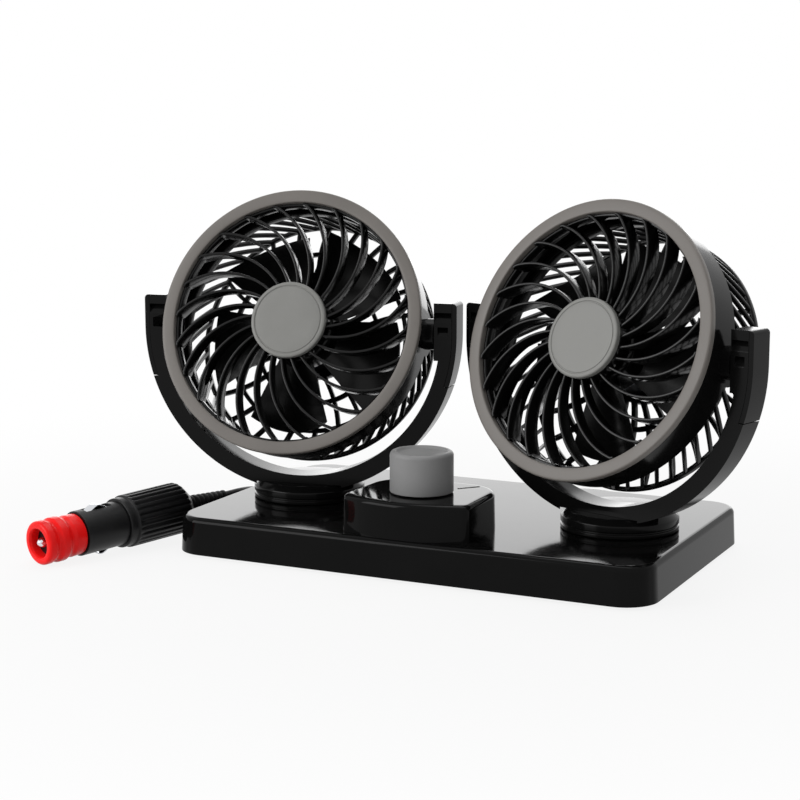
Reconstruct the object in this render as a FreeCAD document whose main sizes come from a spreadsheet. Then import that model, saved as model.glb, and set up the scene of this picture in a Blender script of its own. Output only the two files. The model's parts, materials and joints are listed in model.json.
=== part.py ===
import FreeCAD, Part
import math
import os

import Sketcher
from FreeCAD import Placement, Rotation, Vector

# Dual head car fan: two tilting, swivelling fan heads on one base, with a control pod and a 12 V plug lead.
# Millimetres, +Z up. The origin is on the floor, under the middle of the base, and the fans face -Y.

doc = FreeCAD.newDocument("dual_head_car_fan")

# Driving dimensions: name, millimetres or degrees, and what it is.
SIZES = (
    ("pad_height", 1.5, "rubber pad that the base stands on"),
    ("pad_length", 190.0, "rubber pad, along X"),
    ("pad_depth", 106.0, "rubber pad, along Y"),
    ("pad_corner", 10.0, "rubber pad's corner radius"),
    ("base_length", 221.0, "base cover at its foot, along X"),
    ("base_depth", 136.0, "base cover at its foot, along Y"),
    ("base_height", 16.4, "base cover"),
    ("base_corner", 15.0, "base cover's upright corner radius"),
    ("base_draft", 3.0, "slope of the base cover's sides, degrees"),
    ("base_edge", 2.6, "rounding of the base cover's top edge"),
    ("base_wall", 2.4, "base cover's wall"),
    ("plate_thick", 2.0, "base plate"),
    ("plate_gap", 0.25, "base plate to cover wall"),
    ("post_radius", 4.0, "screw post in the base"),
    ("post_inset", 12.5, "screw post from the foot's straight sides"),
    ("screw_radius", 1.3, "base screw's shank"),
    ("screw_head_radius", 2.8, "base screw's head"),
    ("screw_head_height", 1.2, "base screw's head"),
    ("screw_length", 8.0, "base screw above the plate's face"),
    ("screw_gap", 0.15, "base screw in the plate's hole"),
    ("pod_width", 58.0, "control pod at its front corners"),
    ("pod_back_width", 51.0, "control pod at its back corners"),
    ("pod_front", 65.6, "bow of the pod's front, ahead of the origin"),
    ("pod_shoulder", 59.4, "pod's front corners, ahead of the origin"),
    ("pod_back", 14.5, "pod's back, ahead of the origin"),
    ("pod_height", 15.7, "control pod above the base"),
    ("pod_draft", 1.5, "slope of the pod's sides, degrees"),
    ("pod_wall", 2.2, "control pod's wall"),
    ("pod_edge", 1.0, "rounding of the pod's top edge"),
    ("pod_corner", 6.0, "pod's upright corner radius"),
    ("knob_ahead", 40.6, "knob's axis ahead of the origin"),
    ("knob_radius", 13.65, "speed knob"),
    ("knob_height", 17.0, "speed knob"),
    ("knob_gap", 1.7, "knob above the pod"),
    ("knob_edge", 1.8, "rounding of the knob's top edge"),
    ("knob_wall", 2.2, "knob's skirt"),
    ("knob_cavity", 4.2, "hollow under the knob"),
    ("knob_dish", 0.6, "dish in the knob's top"),
    ("knob_dish_radius", 10.6, "dish in the knob's top"),
    ("knob_roof", 4.5, "knob above its shaft hole"),
    ("shaft_radius", 3.0, "switch shaft"),
    ("shaft_depth", 7.5, "switch shaft below the pod's roof"),
    ("running_gap", 0.05, "radial running clearance of shafts and pins"),
    ("switch_width", 19.0, "switch body"),
    ("switch_height", 10.5, "switch body"),
    ("bush_radius", 4.8, "switch's threaded bush"),
    ("bush_height", 4.0, "switch's threaded bush above the pod"),
    ("nut_radius", 8.0, "switch nut across its corners, halved"),
    ("nut_height", 2.4, "switch nut"),
    ("window_length", 25.0, "opening in the base under the pod"),
    ("window_depth", 21.0, "opening in the base under the pod"),
    ("resistor_length", 46.0, "dropping resistor"),
    ("resistor_width", 9.5, "dropping resistor"),
    ("resistor_height", 9.0, "dropping resistor"),
    ("resistor_back", 22.0, "dropping resistor behind the origin"),
    ("swivel_spacing", 151.2, "between the two swivel axes"),
    ("swivel_ahead", 1.7, "swivel axes ahead of the origin"),
    ("swivel_gap", 0.3, "turntable above the base"),
    ("bow_ahead", 9.78, "yoke's bow and tilt axis ahead of the swivel axis"),
    ("pivot_rise", 78.05, "tilt axis above the base's top"),
    ("left_yaw", 10.2, "left fan turned towards the middle, degrees"),
    ("right_yaw", -16.5, "right fan turned towards the middle, degrees"),
    ("head_tilt", 20.0, "both heads tilted up, degrees"),
    ("turntable_radius", 25.4, "turntable under a yoke"),
    ("turntable_height", 8.0, "turntable under a yoke"),
    ("turntable_bevel", 2.6, "bevel of the turntable's top edge"),
    ("turntable_groove", 0.6, "groove round the turntable"),
    ("turntable_groove_drop", 5.2, "groove below the turntable's top"),
    ("spigot_radius", 11.0, "spigot that turns in the base"),
    ("spigot_bore", 7.0, "hole for the leads in the spigot"),
    ("washer_radius", 16.5, "friction washer"),
    ("washer_thick", 0.8, "friction washer"),
    ("clip_radius", 15.0, "retaining clip"),
    ("clip_thick", 1.6, "retaining clip"),
    ("yoke_inner", 66.0, "inner radius of the yoke's bow"),
    ("yoke_outer", 73.6, "outer radius of the yoke's bow"),
    ("yoke_depth", 12.0, "yoke, front to back"),
    ("yoke_wall", 1.6, "yoke shell's wall"),
    ("yoke_top", 14.5, "yoke arms above the tilt axis"),
    ("yoke_edge", 1.8, "rounding of the arms' outer top corners"),
    ("yoke_cavity_start", 17.0, "hollow of the bow below the tilt axis, degrees"),
    ("back_thick", 2.0, "yoke's back cover"),
    ("back_gap", 0.15, "yoke's back cover to the shell"),
    ("block_face", 63.2, "pivot block's inner face from the head's axis"),
    ("block_drop", 11.0, "pivot block below the tilt axis"),
    ("cover_thick", 2.2, "pivot cover on an arm's outside"),
    ("cover_drop", 23.0, "pivot cover below the tilt axis"),
    ("cover_gap", 0.3, "seam under a pivot cover"),
    ("ledge_depth", 3.0, "sloped recesses in the arms' fronts"),
    ("ledge_height", 4.3, "upper recess"),
    ("ledge_drop", 4.2, "upper recess below the arm's top"),
    ("ledge_width", 7.6, "upper recess"),
    ("tab_height", 4.0, "lower recess"),
    ("tab_drop", 10.6, "lower recess below the arm's top"),
    ("tab_width", 4.6, "lower recess"),
    ("pin_radius", 3.0, "pivot pin"),
    ("pin_reach", 56.6, "pivot pin's inner end from the head's axis"),
    ("pin_head_radius", 4.4, "pivot pin's head"),
    ("pin_head_thick", 2.6, "pivot pin's head"),
    ("pin_sink", 0.3, "pivot pin's head below the arm's side"),
    ("face_reach", 18.5, "bezel's face ahead of the tilt axis"),
    ("bezel_radius", 60.0, "bezel ring, outside"),
    ("bezel_width", 5.6, "bezel ring's face"),
    ("bezel_thick", 3.0, "bezel ring"),
    ("bezel_edge", 0.7, "rounding of the bezel's edges"),
    ("barrel_radius", 58.6, "barrel, outside"),
    ("barrel_wall", 2.2, "barrel's wall"),
    ("barrel_depth", 17.3, "barrel behind the bezel"),
    ("ear_half_width", 9.5, "half of a pivot ear"),
    ("ear_drop", 8.5, "pivot ear behind the tilt axis"),
    ("ear_round", 5.5, "pivot ear's corner radius"),
    ("ear_boss_radius", 7.0, "boss on a pivot ear"),
    ("ear_boss_inner", 57.0, "boss's inner face from the head's axis"),
    ("ear_gap", 0.3, "ear's boss to the pivot block"),
    ("seat_gap", 0.2, "grille and cage rims in the barrel"),
    ("grille_rim", 3.0, "grille's outer rim, radial"),
    ("grille_rim_depth", 4.9, "grille's outer rim, along the axis"),
    ("grille_sink", 0.6, "grille's ribs behind the bezel's face"),
    ("grille_hub_radius", 17.2, "grille's middle disc"),
    ("grille_hub_depth", 6.0, "grille's middle disc and ribs there"),
    ("grille_rib_depth", 10.0, "grille's ribs at the rim"),
    ("grille_rib_thick", 1.4, "grille's ribs"),
    ("grille_rib_sweep", 36.4, "turn of a rib from the disc to the rim, degrees"),
    ("grille_rib_bow", 62.0, "bow radius of a rib"),
    ("disc_radius", 17.5, "hub disc"),
    ("disc_thick", 2.5, "hub disc"),
    ("disc_edge", 0.8, "rounding of the hub disc"),
    ("cage_rim", 2.3, "cage's front rim, radial"),
    ("cage_rim_depth", 5.0, "cage's front rim, along the axis"),
    ("cage_rim_seat", 3.0, "cage's front rim inside the barrel"),
    ("cage_depth", 20.7, "cage's side ribs, along the axis"),
    ("cage_back_radius", 55.8, "cage's back ring, outside"),
    ("cage_back_thick", 3.0, "cage's back, along the axis"),
    ("cage_rib", 2.0, "cage's ribs and rings"),
    ("cage_rib_inset", 0.3, "cage's side ribs inside the rings' outer faces"),
    ("cage_slant", 15.0, "turn of a side rib from front to back, degrees"),
    ("cage_ring_a", 30.0, "inner ring of the cage's back"),
    ("cage_ring_b", 43.0, "outer ring of the cage's back"),
    ("cup_radius", 17.4, "motor cup in the cage"),
    ("cup_depth", 3.4, "motor cup behind the cage's back"),
    ("cup_floor", 2.0, "motor cup's floor"),
    ("motor_radius", 13.85, "motor can"),
    ("motor_length", 24.0, "motor can"),
    ("motor_gap", 0.15, "motor in its cup, radial"),
    ("motor_nose_radius", 5.0, "motor's front bearing"),
    ("motor_nose", 1.6, "motor's front bearing"),
    ("axle_radius", 1.5, "motor shaft"),
    ("axle_sink", 17.0, "motor shaft inside the motor"),
    ("rotor_radius", 45.8, "rotor's blade tips"),
    ("rotor_hub_radius", 17.0, "rotor's hub"),
    ("rotor_hub_wall", 2.0, "rotor's hub"),
    ("rotor_hub_back", -6.4, "rotor's hub ahead of the tilt axis"),
    ("rotor_hub_depth", 14.0, "rotor's hub, along the axis"),
    ("rotor_boss_radius", 4.6, "rotor's boss on the shaft"),
    ("rotor_boss_gap", 0.8, "rotor's boss to the motor's bearing"),
    ("blade_low", -8.9, "blades' leading edge ahead of the tilt axis"),
    ("blade_high", 3.6, "blades' trailing edge ahead of the tilt axis"),
    ("blade_root_chord", 18.0, "blade's width at the hub, seen from the front"),
    ("blade_tip_chord", 38.0, "blade's width at the tip, seen from the front"),
    ("blade_thick", 1.6, "blade"),
    ("blade_root_bow", 18.0, "blade's bow radius at the hub"),
    ("blade_tip_bow", 45.0, "blade's bow radius at the tip"),
    ("left_rotor_turn", 50.0, "left rotor's rest angle, degrees"),
    ("right_rotor_turn", 62.0, "right rotor's rest angle, degrees"),
    ("cord_radius", 1.8, "lead"),
    ("gland_x", -9.2, "gland along the base's back"),
    ("gland_rise", 8.5, "gland above the floor"),
    ("gland_radius", 3.6, "gland's neck in the wall"),
    ("gland_flange", 5.0, "gland's flanges"),
    ("gland_flange_thick", 1.4, "gland's flanges"),
    ("gland_tip_radius", 2.7, "gland's boot at its end"),
    ("gland_boot", 15.0, "gland's boot"),
    ("gland_gap", 0.2, "gland's flanges to the wall"),
    ("plug_rear_x", -124.4, "back of the plug's handle"),
    ("plug_rear_y", -33.1, "back of the plug's handle"),
    ("plug_rear_z", 13.85, "back of the plug's handle"),
    ("plug_heading", -109.3, "which way the plug points, degrees"),
    ("plug_dip", 2.85, "plug's nose below its handle, degrees"),
    ("handle_radius", 11.9, "plug's handle"),
    ("handle_length", 38.0, "plug's handle"),
    ("handle_collar_radius", 11.2, "step at the handle's front"),
    ("handle_collar", 4.0, "step at the handle's front"),
    ("handle_back_bevel", 4.5, "bevel at the handle's back"),
    ("flute_radius", 1.1, "grip flutes on the handle"),
    ("flute_length", 26.0, "grip flutes on the handle"),
    ("relief_length", 24.0, "plug's strain relief"),
    ("relief_radius", 4.4, "strain relief at the handle"),
    ("relief_tip_radius", 2.7, "strain relief at the lead"),
    ("relief_groove", 0.8, "grooves of the strain relief"),
    ("body_radius", 10.0, "plug's body"),
    ("body_length", 22.0, "plug's body"),
    ("body_flat", 1.2, "recess along the plug's body"),
    ("body_flat_width", 8.0, "recess along the plug's body"),
    ("body_flat_length", 13.0, "recess along the plug's body"),
    ("nose_radius", 5.9, "plug's nose inside the red ring"),
    ("nose_length", 16.0, "plug's nose inside the red ring"),
    ("nose_bore", 3.1, "bore for the fuse and the tip"),
    ("nose_lip", 1.6, "lip that holds the tip in"),
    ("tip_radius", 2.3, "tip contact"),
    ("tip_collar", 6.0, "tip contact's collar"),
    ("tip_point", 4.2, "tip contact ahead of the nose"),
    ("tip_travel", 2.5, "tip contact's travel"),
    ("fuse_length", 17.0, "fuse"),
    ("spring_wall", 0.7, "spring behind the fuse"),
    ("inner_gap", 0.1, "fuse and tip in their bore, radial"),
    ("ring_radius", 9.9, "red ring, outside"),
    ("ring_length", 20.0, "red ring"),
    ("ring_wave", 1.1, "grooves of the red ring"),
    ("ring_bore_gap", 0.1, "red ring on the nose"),
    ("ring_mouth", 6.2, "red ring's open front"),
    ("ring_seat", 0.3, "red ring to the plug's body"),
    ("contact_width", 5.0, "side contact"),
    ("contact_thick", 0.6, "side contact"),
    ("contact_length", 13.0, "side contact"),
    ("contact_rise", 1.3, "side contact above the body"),
    ("contact_travel", 1.6, "side contact's travel"),
    ("slot_depth", 3.4, "slot under a side contact"),
    ("coil_x", 20.0, "middle of the put-away coil"),
    ("coil_y", 104.5, "middle of the put-away coil"),
    ("coil_inner", 13.5, "coil's smallest turn"),
    ("coil_step", 4.15, "from turn to turn and layer to layer"),
    ("coil_lift", 0.9, "coil above the floor, on its tie"),
    ("tie_thick", 0.7, "tie round the coil"),
    ("tie_width", 8.0, "tie round the coil"),
    ("tie_slack", 0.15, "tie to the coil"),
)

# Counts
GRILLE_RIBS = 24
CAGE_SIDE_RIBS = 48
CAGE_BACK_RIBS = 24
BLADES = 5
HANDLE_FLUTES = 20
RELIEF_GROOVES = 8
COIL_TURNS = 7.75

sheet = doc.addObject("Spreadsheet::Sheet", "Sizes")
for row, (alias, number, meaning) in enumerate(SIZES, start=1):
    sheet.set(f"A{row}", alias)
    sheet.set(f"B{row}", str(number))
    sheet.set(f"C{row}", meaning)
    sheet.setAlias(f"B{row}", alias)
doc.recompute()


class Size:
    """A number together with the sheet expression that it comes from."""

    def __init__(self, value, text):
        self.value = float(value)
        self.text = text

    def __add__(self, other):
        other = as_size(other)
        return Size(self.value + other.value, f"({self.text} + {other.text})")

    def __sub__(self, other):
        other = as_size(other)
        return Size(self.value - other.value, f"({self.text} - {other.text})")

    def __mul__(self, other):
        other = as_size(other)
        return Size(self.value * other.value, f"({self.text} * {other.text})")

    def __truediv__(self, other):
        other = as_size(other)
        return Size(self.value / other.value, f"({self.text} / {other.text})")

    def __neg__(self):
        return Size(-self.value, f"(0 - {self.text})")

    def __radd__(self, other):
        return as_size(other) + self

    def __rsub__(self, other):
        return as_size(other) - self

    def __rmul__(self, other):
        return as_size(other) * self


def as_size(number):
    """A plain number as a Size."""
    if isinstance(number, Size):
        return number
    return Size(number, f"{float(number):.6f}")


def cosine(angle):
    """Cosine of a Size in degrees."""
    return Size(math.cos(math.radians(angle.value)), f"cos({angle.text} * 1 deg)")


def sine(angle):
    """Sine of a Size in degrees."""
    return Size(math.sin(math.radians(angle.value)), f"sin({angle.text} * 1 deg)")


def root(square):
    """Square root of a Size."""
    return Size(math.sqrt(square.value), f"sqrt({square.text})")


def leg(hypotenuse, side):
    """The other short side of a right-angled triangle."""
    return root(hypotenuse * hypotenuse - side * side)


class Sizes:
    """The sheet's driving dimensions, by name."""

    def __getattr__(self, alias):
        for name, number, _ in SIZES:
            if name == alias:
                return Size(number, f"Sizes.{alias}")
        raise AttributeError(alias)


d = Sizes()
ZERO = as_size(0)
parts = []


def bind(thing, name, size):
    """Ties a property of a document object to the sheet."""
    thing.setExpression(name, as_size(size).text)


def new_body(label, several=False):
    """A body for one sub-part, or for a group of separate like solids."""
    body = doc.addObject("PartDesign::Body", label)
    body.Label = label
    if several:
        body.AllowCompound = True
    parts.append(body)
    return body


def sketch_on(body, role, offset=ZERO):
    """A sketch on one of the body's own origin planes, moved along the plane's normal."""
    sketch = body.newObject("Sketcher::SketchObject", f"{body.Name}_sketch")
    plane = next(feature for feature in body.Origin.OriginFeatures if feature.Role == role)
    sketch.AttachmentSupport = [(plane, "")]
    sketch.MapMode = "FlatFace"
    bind(sketch, "AttachmentOffset.Base.z", offset)
    return sketch


def pin_point(sketch, geometry, end, x, y):
    """Fixes one end of a sketch line or arc at a place that the sheet gives."""
    for kind, size in (("DistanceX", x), ("DistanceY", y)):
        index = sketch.addConstraint(Sketcher.Constraint(kind, -1, 1, geometry, end, size.value))
        bind(sketch, f"Constraints[{index}]", size)


def arc_between(start, end, radius, turn):
    """A short arc of a circle from start to end that turns left or right, drawn anticlockwise."""
    chord = end - start
    half = chord.Length / 2
    normal = Vector(-chord.y, chord.x, 0).normalize()
    if turn == "right":
        normal = normal * -1
        start, end = end, start
    centre = (start + end) / 2 + normal * math.sqrt(max(radius * radius - half * half, 0))
    first = math.atan2(start.y - centre.y, start.x - centre.x)
    last = math.atan2(end.y - centre.y, end.x - centre.x)
    if last < first:
        last += 2 * math.pi
    return Part.ArcOfCircle(Part.Circle(centre, Vector(0, 0, 1), radius), first, last)


def outline(sketch, points):
    """A closed outline. A point is (x, y) or (x, y, turn, radius), where an arc goes on to the next point."""
    sized = [(as_size(point[0]), as_size(point[1]), *point[2:]) for point in points]
    places = [Vector(point[0].value, point[1].value, 0) for point in sized]
    ends = []
    for number, point in enumerate(sized):
        start = places[number]
        end = places[(number + 1) % len(places)]
        if len(point) == 2:
            index = sketch.addGeometry(Part.LineSegment(start, end), False)
            ends.append((index, 1, 2))
            continue
        radius = as_size(point[3])
        index = sketch.addGeometry(arc_between(start, end, radius.value, point[2]), False)
        runs_forward = sketch.Geometry[index].StartPoint.distanceToPoint(start) < 1e-6
        ends.append((index, 1, 2) if runs_forward else (index, 2, 1))
        constraint = sketch.addConstraint(Sketcher.Constraint("Radius", index, radius.value))
        bind(sketch, f"Constraints[{constraint}]", radius)
    for number, (index, first, last) in enumerate(ends):
        following = ends[(number + 1) % len(ends)]
        sketch.addConstraint(Sketcher.Constraint("Coincident", index, last, following[0], following[1]))
        pin_point(sketch, index, first, sized[number][0], sized[number][1])


def circle(sketch, x, y, radius):
    """A circle in a sketch."""
    x, y, radius = as_size(x), as_size(y), as_size(radius)
    shape = Part.Circle(Vector(x.value, y.value, 0), Vector(0, 0, 1), radius.value)
    index = sketch.addGeometry(shape, False)
    pin_point(sketch, index, 3, x, y)
    constraint = sketch.addConstraint(Sketcher.Constraint("Radius", index, radius.value))
    bind(sketch, f"Constraints[{constraint}]", radius)


def rounded_box(sketch, length, depth, corner):
    """A rectangle round the sketch's origin with round corners."""
    x = length / 2
    y = depth / 2
    outline(sketch, [
        (x - corner, -y, "left", corner), (x, -y + corner),
        (x, y - corner, "left", corner), (x - corner, y),
        (-x + corner, y, "left", corner), (-x, y - corner),
        (-x, -y + corner, "left", corner), (-x + corner, -y),
    ])


def plain_box(sketch, low_x, high_x, low_y, high_y):
    """A rectangle."""
    outline(sketch, [(low_x, low_y), (high_x, low_y), (high_x, high_y), (low_x, high_y)])


def pad(body, sketch, length, taper=None):
    """Raises a sketch along its normal."""
    feature = body.newObject("PartDesign::Pad", f"{body.Name}_pad")
    feature.Profile = sketch
    bind(feature, "Length", length)
    if taper is not None:
        bind(feature, "TaperAngle", -taper)
    return feature


def pocket(body, sketch, length, forward=False):
    """Cuts a sketch out of the body, against its normal or along it."""
    doc.recompute()
    before = body.Shape.Volume
    feature = body.newObject("PartDesign::Pocket", f"{body.Name}_pocket")
    feature.Profile = sketch
    feature.Reversed = forward
    bind(feature, "Length", length)
    doc.recompute()
    if not body.Shape.Volume < before:
        raise RuntimeError(f"a pocket of {body.Label} cuts nothing")
    return feature


def revolve(body, points, role="XZ_Plane"):
    """Turns an outline of radius and height right round the body's Z axis."""
    sketch = sketch_on(body, role)
    outline(sketch, points)
    feature = body.newObject("PartDesign::Revolution", f"{body.Name}_turn")
    feature.Profile = sketch
    feature.ReferenceAxis = (sketch, ["V_Axis"])
    feature.Angle = 360
    return feature


def groove(body, points):
    """Cuts an outline of radius and height right round the body's Z axis."""
    doc.recompute()
    before = body.Shape.Volume
    sketch = sketch_on(body, "XZ_Plane")
    outline(sketch, points)
    feature = body.newObject("PartDesign::Groove", f"{body.Name}_groove")
    feature.Profile = sketch
    feature.ReferenceAxis = (sketch, ["V_Axis"])
    feature.Angle = 360
    doc.recompute()
    if not body.Shape.Volume < before:
        raise RuntimeError(f"a groove of {body.Label} cuts nothing")
    return feature


def pattern(body, features, count):
    """Repeats features evenly round the body's Z axis."""
    axis = next(feature for feature in body.Origin.OriginFeatures if feature.Role == "Z_Axis")
    feature = body.newObject("PartDesign::PolarPattern", f"{body.Name}_pattern")
    feature.Originals = features
    feature.Axis = (axis, [""])
    feature.Angle = 360
    feature.Occurrences = count
    feature.Refine = False
    body.Tip = feature
    return feature


def soften(body, radius, wanted):
    """Rounds the edges of the body that the test picks."""
    doc.recompute()
    base = body.Tip
    names = [f"Edge{number}" for number, edge in enumerate(base.Shape.Edges, start=1) if wanted(edge)]
    if not names:
        raise RuntimeError(f"no edge of {body.Label} is rounded")
    feature = body.newObject("PartDesign::Fillet", f"{body.Name}_round")
    feature.Base = (base, names)
    bind(feature, "Radius", radius)
    return feature


def level(edge, height, tolerance=0.01):
    """Whether an edge lies flat at a height."""
    box = edge.BoundBox
    return abs(box.ZMin - height) < tolerance and abs(box.ZMax - height) < tolerance


def ring_edge(edge, radius, height, tolerance=0.01):
    """Whether an edge is a circle round the Z axis of that radius, at that height."""
    if not isinstance(edge.Curve, Part.Circle):
        return False
    return level(edge, height) and abs(edge.Curve.Radius - radius) < tolerance


# Heights and places that several sub-parts share.
base_foot = d.pad_height
base_top = base_foot + d.base_height
base_roof = base_top - d.base_wall
plate_top = base_foot + d.plate_thick
pod_top = base_top + d.pod_height
pod_roof = pod_top - d.pod_wall
knob_foot = pod_top + d.knob_gap
knob_top = knob_foot + d.knob_height
pivot_height = base_top + d.pivot_rise
bezel_back = d.face_reach - d.bezel_thick
barrel_back = bezel_back - d.barrel_depth
barrel_bore = d.barrel_radius - d.barrel_wall
rim_radius = barrel_bore - d.seat_gap
cage_rim_back = barrel_back + d.cage_rim_seat - d.cage_rim_depth
cage_back = cage_rim_back - d.cage_depth
cup_back = cage_back - d.cage_back_thick - d.cup_depth
motor_back = cup_back + d.cup_floor
motor_front = motor_back + d.motor_length
screw_places = [(x * (d.base_length / 2 - d.post_inset), y * (d.base_depth / 2 - d.post_inset))
                for x in (-1, 1) for y in (-1, 1)]


def build_base():
    """Cover, plate, pad and screws."""
    body = new_body("base_cover")
    sketch = sketch_on(body, "XY_Plane", base_foot)
    rounded_box(sketch, d.base_length, d.base_depth, d.base_corner)
    pad(body, sketch, d.base_height, d.base_draft)
    soften(body, d.base_edge, lambda edge: level(edge, base_top.value))
    sketch = sketch_on(body, "XY_Plane", base_roof)
    inset = d.base_wall * 2 + d.base_height * sine(d.base_draft) / cosine(d.base_draft) * 2
    rounded_box(sketch, d.base_length - inset, d.base_depth - inset, d.base_corner - d.base_wall)
    pocket(body, sketch, d.base_height - d.base_wall)
    sketch = sketch_on(body, "XY_Plane", plate_top)
    plate = d.base_wall * 2
    rounded_box(sketch, d.base_length - plate, d.base_depth - plate, d.base_corner - d.base_wall)
    pocket(body, sketch, d.plate_thick)
    sketch = sketch_on(body, "XY_Plane", plate_top)
    for x, y in screw_places:
        circle(sketch, x, y, d.post_radius)
    pad(body, sketch, base_roof - plate_top)
    sketch = sketch_on(body, "XY_Plane", plate_top)
    for x, y in screw_places:
        circle(sketch, x, y, d.screw_radius)
    pocket(body, sketch, d.screw_length, forward=True)
    sketch = sketch_on(body, "XY_Plane", base_top)
    for side in (-1, 1):
        circle(sketch, side * d.swivel_spacing / 2, -d.swivel_ahead, d.spigot_radius + d.running_gap)
    half_x = d.window_length / 2
    half_y = d.window_depth / 2
    plain_box(sketch, -half_x, half_x, -d.knob_ahead - half_y, -d.knob_ahead + half_y)
    pocket(body, sketch, d.base_wall)
    sketch = sketch_on(body, "XZ_Plane", -d.base_depth / 2)
    circle(sketch, d.gland_x, d.gland_rise, d.gland_radius)
    pocket(body, sketch, inset, forward=True)

    body = new_body("base_plate")
    sketch = sketch_on(body, "XY_Plane", base_foot)
    inset = (d.base_wall + d.plate_gap) * 2
    rounded_box(sketch, d.base_length - inset, d.base_depth - inset, d.base_corner - d.base_wall)
    for x, y in screw_places:
        circle(sketch, x, y, d.screw_radius + d.screw_gap)
    pad(body, sketch, d.plate_thick)

    body = new_body("base_pad")
    sketch = sketch_on(body, "XY_Plane")
    rounded_box(sketch, d.pad_length, d.pad_depth, d.pad_corner)
    pad(body, sketch, d.pad_height)

    body = new_body("base_screws", several=True)
    for radius, low, height in (
        (d.screw_head_radius, base_foot - d.screw_head_height, d.screw_head_height),
        (d.screw_radius, base_foot, d.plate_thick + d.screw_length),
    ):
        sketch = sketch_on(body, "XY_Plane", low)
        for x, y in screw_places:
            circle(sketch, x, y, radius)
        pad(body, sketch, height)

    body = new_body("speed_resistor")
    sketch = sketch_on(body, "XY_Plane", plate_top)
    half = d.resistor_length / 2
    plain_box(sketch, -half, half, d.resistor_back, d.resistor_back + d.resistor_width)
    pad(body, sketch, d.resistor_height)


def pod_outline(sketch, inset):
    """The control pod in plan, drawn in by a wall."""
    front = -d.pod_front + inset
    shoulder = -d.pod_shoulder + inset
    back = -d.pod_back - inset
    half = d.pod_width / 2 - inset
    back_half = d.pod_back_width / 2 - inset
    rise = shoulder - front
    bow = (half * half + rise * rise) / (rise * 2)
    outline(sketch, [
        (-half, shoulder, "left", bow), (ZERO, front, "left", bow), (half, shoulder), (back_half, back),
        (-back_half, back),
    ])


def build_controls():
    """Control pod, knob and the switch under it."""
    axis = -d.knob_ahead
    body = new_body("control_pod")
    sketch = sketch_on(body, "XY_Plane", base_top)
    pod_outline(sketch, ZERO)
    pad(body, sketch, d.pod_height, d.pod_draft)

    def corner(edge):
        tall = edge.BoundBox.ZLength > d.pod_height.value / 2
        return tall and abs(edge.CenterOfMass.x) > d.pod_corner.value

    soften(body, d.pod_corner, corner)
    soften(body, d.pod_edge, lambda edge: level(edge, pod_top.value))
    sketch = sketch_on(body, "XY_Plane", pod_roof)
    slope = d.pod_height * sine(d.pod_draft) / cosine(d.pod_draft)
    pod_outline(sketch, d.pod_wall + slope)
    pocket(body, sketch, d.pod_height - d.pod_wall)
    sketch = sketch_on(body, "XY_Plane", pod_top)
    circle(sketch, ZERO, axis, d.bush_radius + d.inner_gap)
    pocket(body, sketch, d.pod_wall)

    body = new_body("switch_body")
    sketch = sketch_on(body, "XY_Plane", pod_roof - d.switch_height)
    half = d.switch_width / 2
    plain_box(sketch, -half, half, axis - half, axis + half)
    pad(body, sketch, d.switch_height)
    sketch = sketch_on(body, "XY_Plane", pod_roof)
    circle(sketch, ZERO, axis, d.bush_radius)
    pad(body, sketch, d.pod_wall + d.bush_height)
    sketch = sketch_on(body, "XY_Plane", pod_top + d.bush_height)
    circle(sketch, ZERO, axis, d.shaft_radius + d.running_gap)
    pocket(body, sketch, d.bush_height + d.pod_wall + d.shaft_depth)

    body = new_body("switch_nut")
    sketch = sketch_on(body, "XY_Plane", pod_top)
    flat = d.nut_radius * math.sqrt(3) / 2
    half = d.nut_radius / 2
    outline(sketch, [
        (d.nut_radius, axis), (half, axis + flat), (-half, axis + flat),
        (-d.nut_radius, axis), (-half, axis - flat), (half, axis - flat),
    ])
    circle(sketch, ZERO, axis, d.bush_radius)
    pad(body, sketch, d.nut_height)

    body = new_body("knob")
    shaft_top = knob_top - d.knob_dish - d.knob_roof
    hollow = d.knob_radius - d.knob_wall
    dish = knob_top - d.knob_dish
    revolve(body, [
        (ZERO, shaft_top), (d.shaft_radius, shaft_top), (d.shaft_radius, knob_foot + d.knob_cavity),
        (hollow, knob_foot + d.knob_cavity), (hollow, knob_foot), (d.knob_radius, knob_foot),
        (d.knob_radius, knob_top), (d.knob_dish_radius + d.knob_dish * 2, knob_top),
        (d.knob_dish_radius, dish), (ZERO, dish),
    ])
    soften(body, d.knob_edge, lambda edge: ring_edge(edge, d.knob_radius.value, knob_top.value))
    body.Placement = Placement(Vector(0, axis.value, 0), Rotation())

    shaft = doc.addObject("Part::Cylinder", "switch_shaft")
    shaft.Label = "switch_shaft"
    bind(shaft, "Radius", d.shaft_radius)
    low = pod_roof - d.shaft_depth
    bind(shaft, "Height", shaft_top - low)
    shaft.Placement = Placement(Vector(0, axis.value, low.value), Rotation())
    parts.append(shaft)


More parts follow.
